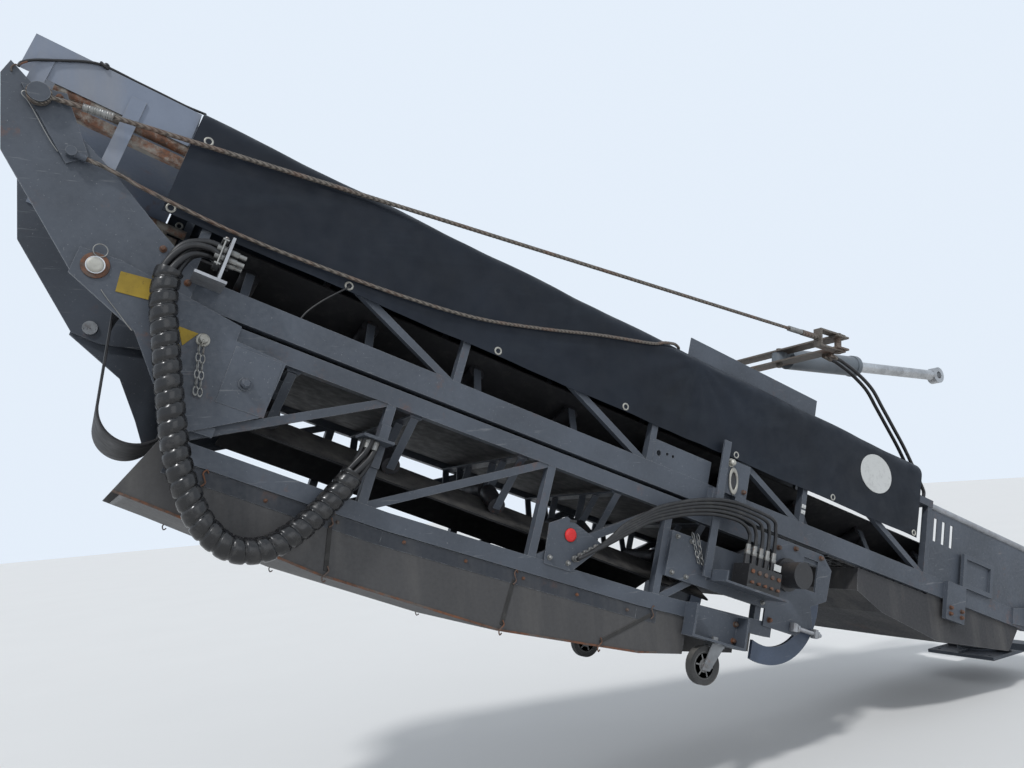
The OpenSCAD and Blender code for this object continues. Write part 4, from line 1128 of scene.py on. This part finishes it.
class CONVEYOR_OT_fasteners(bpy.types.Operator):
    """Bolts on the plates, straps, brackets and chords of both sides"""

    bl_idname = "conveyor.fasteners"
    bl_label = "Fasteners"

    def execute(self, context):
        hinge, bracket, latch, chord = 0.5350, 0.5470, 0.5600, 0.5200
        spread("main_bolts", "rail_steel", "main_section", bolt(0.024), both(
            [(-0.105, hinge, 0.066), (0.028, hinge, -0.030), (-0.655, bracket, 0.478), (3.150, latch, 0.040)]
            + [(u, chord + 0.030, v) for u in (5.130, 5.250) for v in (-0.190, -0.150)]), "rusty_steel")
        spread("latch_bolts", "rail_steel", "main_section", bolt(0.040), both([(3.024, latch, 0.178)]),
               "pale_steel")
        head, hood = 0.5240, 0.5020
        spread("head_bolts", "rail_steel", "folded_section", bolt(0.026), both(
            [(3.520, head, -0.180), (3.520, head, -0.600), (3.880, head, -0.150), (3.660, head, -0.150)]
            + [(u, 0.5180, v) for u in (2.935, 3.275) for v in (-0.680, -0.770)]), "rusty_steel")
        tray = [(u, -0.532, v) for u in (2.760, 2.860, 3.440) for v in (-0.520, -0.325)]
        tray += [(u, -0.518, v) for u, v in ((2.010, -0.640), (2.120, -0.640), (2.285, -0.515))]
        spread("tray_bolts", "rail_steel", "folded_section", bolt(0.022), tray, "zinc")
        rims = [(0.620 + 0.320 * k, hood + 0.0025, -0.772) for k in range(7)]
        spread("hood_screws", "rail_steel", "folded_section", bolt(0.014), both(rims), "rusty_steel")
        return {"FINISHED"}


class CONVEYOR_OT_hinge_fittings(bpy.types.Operator):
    """Washers and rings of the hinge pins, the locking pin on its chain, the panel and the blank plates"""

    bl_idname = "conveyor.hinge_fittings"
    bl_label = "Hinge fittings"

    def execute(self, context):
        u, v = HINGE_PIN
        washers, rings, caps = [], [], []
        for y in (-1, 1):
            washers.append(raised(round_bar((u, y * 0.5592, v), 0.052, 0.005, "Y", 36),
                                  (0, y, 0), 0.010, 0.0012))
            rings.append(loop((u - 0.004, y * 0.5640, v + 0.062), 0.026, 0.0024, (math.pi / 2, 0.3, 0.1)))
            caps.append(raised(round_bar((u, y * 0.5695, v), 0.031, 0.005, "Y", 32, 0.002),
                               (0, y, 0), 0.010, 0.002))
        fitted("hinge_washers", "bright_steel", "main_section", *washers, finish="rusty_steel")
        fitted("hinge_pin_rings", "bright_steel", "main_section", *rings, finish="zinc")
        fitted("hinge_pin_caps", "bright_steel", "main_section", *caps, finish="pale_steel")
        lead, path = round_lead("plate_wire", "castor_steel", "folded_section", PLATE_WIRE_POINTS,
                                WIRE_HALF, 8, 6, "zinc")

        panels = [raised(strut((0.290, -0.335), (0.492, -0.335), 0.250, y - 0.0015, y + 0.0015, 0.001),
                         (0, math.copysign(1, y), 0), 0.010, 0.0008) for y in (-0.5570, 0.5570)]
        fitted("fold_panels", "frame_paint", "folded_section", *panels)
        spread("panel_bolts", "frame_paint", "folded_section", bolt(0.046), both([(0.376, 0.5585, -0.352)]),
               "frame_paint")

        pin_u, pin_v = 0.162, -0.238
        pin = raised(round_bar((pin_u, -0.576, pin_v), 0.019, 0.044, "Y", 24, 0.003),
                     (0, -1, 0), 0.006, -0.003)
        fitted("locking_pin", "bright_steel", "folded_section", pin,
               round_bar((pin_u, -0.560, pin_v), 0.028, 0.008, "Y", 24, 0.002),
               loop((pin_u, -0.590, pin_v - 0.016), 0.012, 0.0025, (math.pi / 2, 0, math.pi / 2)),
               finish="pale_steel")
        for k, off in enumerate((-0.008, 0.010)):
            chain("pin_chain_%d" % (k + 1), "folded_section",
                  (pin_u + off, -0.584 + 0.006 * k, pin_v - 0.030),
                  (pin_u + 0.055 + off, -0.572, pin_v - 0.225))

        yellow = raised(strut((-0.206, -0.136), (-0.058, -0.116), 0.086, -0.5592, -0.5560, 0.001),
                        (0, -1, 0), 0.005, -0.0004)
        deselect()
        bpy.ops.mesh.primitive_cylinder_add(vertices=3, radius=0.047, depth=0.003,
                                            location=(0.097, -0.5575, -0.242),
                                            rotation=(math.pi / 2, math.pi, 0))
        small = raised(rounded(bpy.context.object, 0.0008), (0, -1, 0), 0.004, -0.0003)
        fitted("blank_plates", "guard_steel", "folded_section", yellow, small, finish="blank_yellow")
        return {"FINISHED"}


class CONVEYOR_OT_hose_fittings(bpy.types.Operator):
    """Silver nuts and collars where the hinge hoses start and end, and the clamps on them"""

    bl_idname = "conveyor.hose_fittings"
    bl_label = "Hose fittings"

    def execute(self, context):
        sizes = context.scene.conveyor_hoses
        ring = hose_ring(sizes)
        turns = [2 * math.pi * k / OUTER_HOSES for k in range(OUTER_HOSES)]
        spots = [(0.0, 0.0)] + [(ring * math.cos(turn), ring * math.sin(turn)) for turn in turns]
        for name, body, centre, axis in (("upper", "main_section", (0.1195, -0.620, 0.110), "X"),
                                         ("lower", "folded_section", (0.955, -0.575, -0.4005), "Z")):
            parts = []
            for a, b in spots:
                for depth, radius, length, sides in ((0.010, 0.0168, 0.016, 6), (0.030, 0.0148, 0.024, 20)):
                    place = ((centre[0] - depth, centre[1] + a, centre[2] + b) if axis == "X"
                             else (centre[0] + b, centre[1] + a, centre[2] - depth))
                    parts.append(round_bar(place, radius, length, axis, sides, 0.0008))
            fitted("hose_fittings_" + name, "castor_steel", body, *parts, finish="zinc")
        out = []
        for a, b in spots[1:]:
            out.append(round_bar((0.150, -0.620 + a, 0.110 + b), 0.0135, 0.036, "X", 6, 0.0008))
            out.append(round_bar((0.182, -0.620 + a, 0.110 + b), 0.010, 0.034, "X", 16, 0.0008))
        fitted("bulkhead_fittings", "castor_steel", "main_section", *out, finish="zinc")
        screw_places = (-0.662, -0.578)
        clamp = [block((0.086, -0.667, low), (0.112, -0.573, high))
                 for low, high in ((0.052, 0.060), (0.160, 0.168))]
        clamp += [round_bar((0.099, y, 0.110), 0.004, 0.124, "Z", 12) for y in screw_places]
        clamp += [round_bar((0.099, y, 0.171), 0.0085, 0.007, "Z", 6, 0.0006) for y in screw_places]
        fitted("hose_clamp", "rail_steel", "main_section", *clamp, finish="zinc")
        return {"FINISHED"}


class CONVEYOR_OT_tray_hoses(bpy.types.Operator):
    """Hoses from the folded frame to the valves, with their fittings, and the valves' spools and tag"""

    bl_idname = "conveyor.tray_hoses"
    bl_label = "Tray hoses"

    def execute(self, context):
        half = 0.0105
        nuts, caps = [], []
        for k in range(5):
            rank = k - 2
            start = (2.150 + 0.028 * k, -0.540, -0.610 + 0.022 * k)
            stud = 3.200 + 0.050 * k
            run = [start, (start[0], -0.556, start[2]), (start[0] + 0.012, -0.578, start[2] + 0.016)]
            run += [(u + 0.012 * rank, y, v + 0.0235 * rank) for u, y, v in TRAY_HOSE_POINTS]
            run += [(stud - 0.055, -0.618, -0.108 + 0.0235 * rank),
                    (stud - 0.012, -0.612, -0.150 + 0.016 * rank),
                    (stud, -0.610, -0.205), (stud, -0.610, -0.278)]
            hose, path = round_lead("tray_hose_%d" % (k + 1), "hose_rubber", "folded_section", run, half, 12)
            nuts += [round_bar((stud, -0.610, -0.292), 0.0185, 0.022, "Z", 6, 0.001),
                     round_bar((stud, -0.610, -0.264), 0.0142, 0.036, "Z", 20, 0.001),
                     round_bar((start[0], -0.526, start[2]), 0.0175, 0.016, "Y", 6, 0.001),
                     round_bar((start[0], -0.542, start[2]), 0.0138, 0.026, "Y", 20, 0.001)]
            caps += [round_bar((stud, -0.673, -0.395), 0.012, 0.010, "Y", 20, 0.002),
                     round_bar((stud, -0.676, -0.455), 0.009, 0.016, "Y", 6, 0.001)]
        fitted("tray_hose_fittings", "castor_steel", "folded_section", *nuts, finish="zinc")
        fitted("valve_caps", "castor_steel", "folded_section", *caps, finish="rusty_steel")
        tag = raised(block((3.352, -0.6725, -0.352), (3.406, -0.6698, -0.316), 0.0008),
                     (0, -1, 0), 0.003, -0.0003)
        fitted("blank_tag", "guard_steel", "folded_section", tag, finish="blank_white")
        return {"FINISHED"}


class CONVEYOR_OT_frame_fittings(bpy.types.Operator):
    """Reflector, latch handles, gussets, chains, take-up screws and the pipes under the end hood"""

    bl_idname = "conveyor.frame_fittings"
    bl_label = "Frame fittings"

    def execute(self, context):
        lens_u, lens_v, near = 2.100, -0.503, (0, -1, 0)
        lens = raised(round_bar((lens_u, -0.5215, lens_v), 0.0335, 0.007, "Y", 36, 0.001), near, 0.004, 0.002)
        fitted("reflector", "motor_black", "folded_section", raised(lens, near, 0.010, 0.0012),
               finish="red_lens")
        backing = round_bar((lens_u, -0.5188, lens_v), 0.0375, 0.0025, "Y", 36, 0.0005)
        fitted("reflector_backing", "motor_black", "folded_section", raised(backing, near, 0.003, 0.0004))

        # A thin black bar for the plate's slot: painted shade where the plate is open
        plate_slot_shade = strut((2.080, -0.436), (2.120, -0.428), 0.012, -0.5195, -0.5178, 0.0005)
        handles, slot_shades, webs = [], [], []
        for y in (-1, 1):
            handles.append(loop((3.060, y * 0.5665, 0.080), 0.028, 0.0065,
                                (math.pi / 2, math.radians(80), 0), 2.3))
            # Black sunk plates for the latch slots: painted shade where the side plates are open
            slot_shades.append(raised(side_plate((3.052, 0.128), (3.068, 0.032), 0.030, y, 0.5598, 0.5625, 0.0008),
                                (0, y, 0), 0.004, -0.001))
            web = y * 0.510
            gusset = block((2.512, web - 0.004, 0.018), (2.925, web + 0.004, 0.152), 0.001)
            holes = [round_bar((u, web, v), radius, 0.03, "Y", sides, 0.0001) for u, v, radius, sides in (
                (2.548, 0.082, 0.016, 24), (2.606, 0.094, 0.009, 20), (2.648, 0.094, 0.009, 20))]
            webs.append(drilled(gusset, *holes))
        fitted("latch_handles", "castor_steel", "main_section", *handles, finish="pale_steel")
        fitted("plate_slot_shade", "motor_black", "folded_section", plate_slot_shade)
        fitted("latch_slot_shades", "motor_black", "main_section", *slot_shades)
        fitted("post_gussets", "frame_paint", "main_section", *webs)

        frame_y, rod_v = 0.5235, -0.598
        screws = []
        for y in (-1, 1):
            out = y * 0.540
            low, high = sorted((y * frame_y, y * 0.558))
            screws.append(raised(block((3.690, low, -0.622), (3.722, high, -0.574)),
                                 (0, y, 0), 0.006, -0.002))
            screws.append(threaded_rod(3.700, 3.935, out, rod_v, 0.011, 0.0045))
            screws += [round_bar((u, out, rod_v), 0.021, 0.020, "X", 6, 0.001) for u in (3.738, 3.905)]
            low, high = sorted((y * frame_y, y * 0.562))
            screws.append(block((3.868, low, -0.624), (3.890, high, -0.572)))
        fitted("take_up_screws", "rail_steel", "folded_section", *screws)

        for k, u in enumerate((2.850, 2.878)):
            chain("strap_chain_%d" % (k + 1), "folded_section", (u, -0.541 - 0.01 * k, -0.280),
                  (u + 0.075, -0.545, -0.430))

        pipes = []
        for y in (-0.4827, 0.4827):
            pipe = round_bar((-0.380, y, 0.535), 0.0245, 0.640, "X", 28, 0.002)
            pipes.append(raised(pipe, (-1, 0, 0), 0.005, -0.02))
            pipes.append(block((-0.690, y - 0.020, 0.449), (-0.090, y + 0.020, 0.492), 0.002))
            for u in (-0.60, -0.40, -0.16):
                pipes.append(block((u - 0.012, y - 0.012, 0.485), (u + 0.012, y + 0.012, 0.520), 0.001))
        fitted("hood_pipes", "rail_steel", "main_section", *pipes, finish="dusty_pipe")
        return {"FINISHED"}


class CONVEYOR_OT_hood_straps(bpy.types.Operator):
    """Rubber straps on the belly hood with their hooks, its upper lip and its lower rim"""

    bl_idname = "conveyor.hood_straps"
    bl_label = "Hood straps"

    def execute(self, context):
        side = 0.5020
        straps, hooks, lips, strips = [], [], [], []
        for y in (-1, 1):
            for start, end in (((1.852, -0.790), (1.842, -1.005)), ((2.700, -0.760), (2.410, -0.962)),
                               ((0.911, -0.780), (0.955, -0.980)), ((0.360, -0.770), (0.375, -0.915))):
                straps.append(side_plate(start, end, 0.020, y, side, side + 0.0035))
                for (u, v), turn in ((start, 1), (end, -1)):
                    hooks.append(wire([(u + ahead, y * out, v + turn * away)
                                       for ahead, out, away in STRAP_HOOK_BEND], 0.0032))
            rail = [(0.200, -0.752), (1.150, -0.783), (2.600, -0.770), (2.735, -0.764)]
            for a, b in zip(rail, rail[1:]):
                strips.append(side_plate(a, b, 0.066, y, side, side + 0.0022, 0.0008))
            rim = [(0.062, -0.901), (0.265, -0.921), (0.930, -1.000), (1.830, -1.031), (2.660, -0.960),
                   (2.780, -0.936)]
            for a, b in zip(rim, rim[1:]):
                lips.append(side_plate(a, b, 0.010, y, side, side + 0.004))
        fitted("hood_strap_webs", "belt_rubber", "folded_section", *straps, finish="strap_web")
        dressed(joined(*hooks), "hood_hooks", "castor_steel", "folded_section", FINISHES["rusty_steel"])
        fitted("hood_strips", "hood_panel", "folded_section", *strips, finish="dark_strip")
        fitted("hood_lips", "hood_panel", "folded_section", *lips, finish="rusty_steel")
        return {"FINISHED"}


class CONVEYOR_OT_castor_wheels(bpy.types.Operator):
    """Castor wheels with a rounded tyre, a dished hub and their axles"""

    bl_idname = "conveyor.castor_wheels"
    bl_label = "Castor wheels"

    def execute(self, context):
        u, v, y0 = 3.058, -0.939, 0.550
        for name, side in (("near", -1), ("far", 1)):
            y = side * y0
            tyre = round_bar((u, y, v), 0.0998, 0.0416, "Y", 48, 0.0001)
            for way in ((0, 1, 0), (0, -1, 0)):
                tyre = raised(raised(tyre, way, 0.026, 0.0), way, 0.003, -0.005)
            tyre = rounded(tyre, 0.007, 3)
            tyre = fitted("tyre_" + name, "castor_rubber", "castor_wheel_" + name, tyre)
            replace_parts(tyre, "castor_wheel_" + name)
            hub = round_bar((u, y, v), 0.070, 0.034, "Y", 36, 0.0015)
            for way in ((0, 1, 0), (0, -1, 0)):
                hub = raised(raised(raised(hub, way, 0.006, 0.0), way, 0.003, -0.006), way, 0.030, 0.005)
            axle = round_bar((u, y, v), 0.0099, 0.072, "Y", 20, 0.001)
            sleeve = round_bar((u, y, v), 0.019, 0.046, "Y", 24, 0.0015)
            spokes = [block((u - 0.060, y - 0.0175, v - 0.004), (u + 0.060, y + 0.0175, v + 0.004), 0.001,
                            math.pi / 3 * k) for k in range(3)]
            fitted("hub_" + name, "castor_steel", "castor_wheel_" + name, hub, axle, sleeve, *spokes,
                   finish="hub_plastic")
        return {"FINISHED"}


class CONVEYOR_PT_panel(bpy.types.Panel):
    """Lists the conveyor's pieces in the sidebar"""

    bl_label = "Conveyor"
    bl_idname = "CONVEYOR_PT_panel"
    bl_space_type = "VIEW_3D"
    bl_region_type = "UI"
    bl_category = "Conveyor"

    def draw(self, context):
        for kind in PIECES:
            self.layout.operator(kind.bl_idname)


PIECES = [CONVEYOR_OT_stage, CONVEYOR_OT_finishes, CONVEYOR_OT_hinge_hoses, CONVEYOR_OT_slack_rope,
          CONVEYOR_OT_lift_hoses, CONVEYOR_OT_cover, CONVEYOR_OT_cover_trim, CONVEYOR_OT_belt_turns,
          CONVEYOR_OT_apron, CONVEYOR_OT_stay_strands, CONVEYOR_OT_hood_tie, CONVEYOR_OT_fasteners,
          CONVEYOR_OT_hinge_fittings, CONVEYOR_OT_hose_fittings, CONVEYOR_OT_tray_hoses,
          CONVEYOR_OT_frame_fittings, CONVEYOR_OT_hood_straps, CONVEYOR_OT_castor_wheels]
GROUPS = {"conveyor_colours": ConveyorColours, "conveyor_cover": CoverSizes, "conveyor_hoses": HoseSizes,
          "conveyor_stage": StageSettings}


def register():
    for kind in [*GROUPS.values(), *PIECES, CONVEYOR_PT_panel]:
        bpy.utils.register_class(kind)
    for name, kind in GROUPS.items():
        setattr(bpy.types.Scene, name, bpy.props.PointerProperty(type=kind))


def unregister():
    for name in GROUPS:
        delattr(bpy.types.Scene, name)
    for kind in [CONVEYOR_PT_panel, *reversed(PIECES), *reversed(list(GROUPS.values()))]:
        bpy.utils.unregister_class(kind)


def main():
    register()
    bpy.ops.conveyor.stage()
    bpy.ops.conveyor.finishes()
    bpy.ops.conveyor.hinge_hoses()
    bpy.ops.conveyor.slack_rope()
    bpy.ops.conveyor.lift_hoses()
    bpy.ops.conveyor.cover()
    bpy.ops.conveyor.cover_trim()
    bpy.ops.conveyor.belt_turns()
    bpy.ops.conveyor.apron()
    bpy.ops.conveyor.stay_strands()
    bpy.ops.conveyor.hood_tie()
    bpy.ops.conveyor.fasteners()
    bpy.ops.conveyor.hinge_fittings()
    bpy.ops.conveyor.hose_fittings()
    bpy.ops.conveyor.tray_hoses()
    bpy.ops.conveyor.frame_fittings()
    bpy.ops.conveyor.hood_straps()
    bpy.ops.conveyor.castor_wheels()
    bpy.context.view_layer.update()


if __name__ == "__main__":
    main()
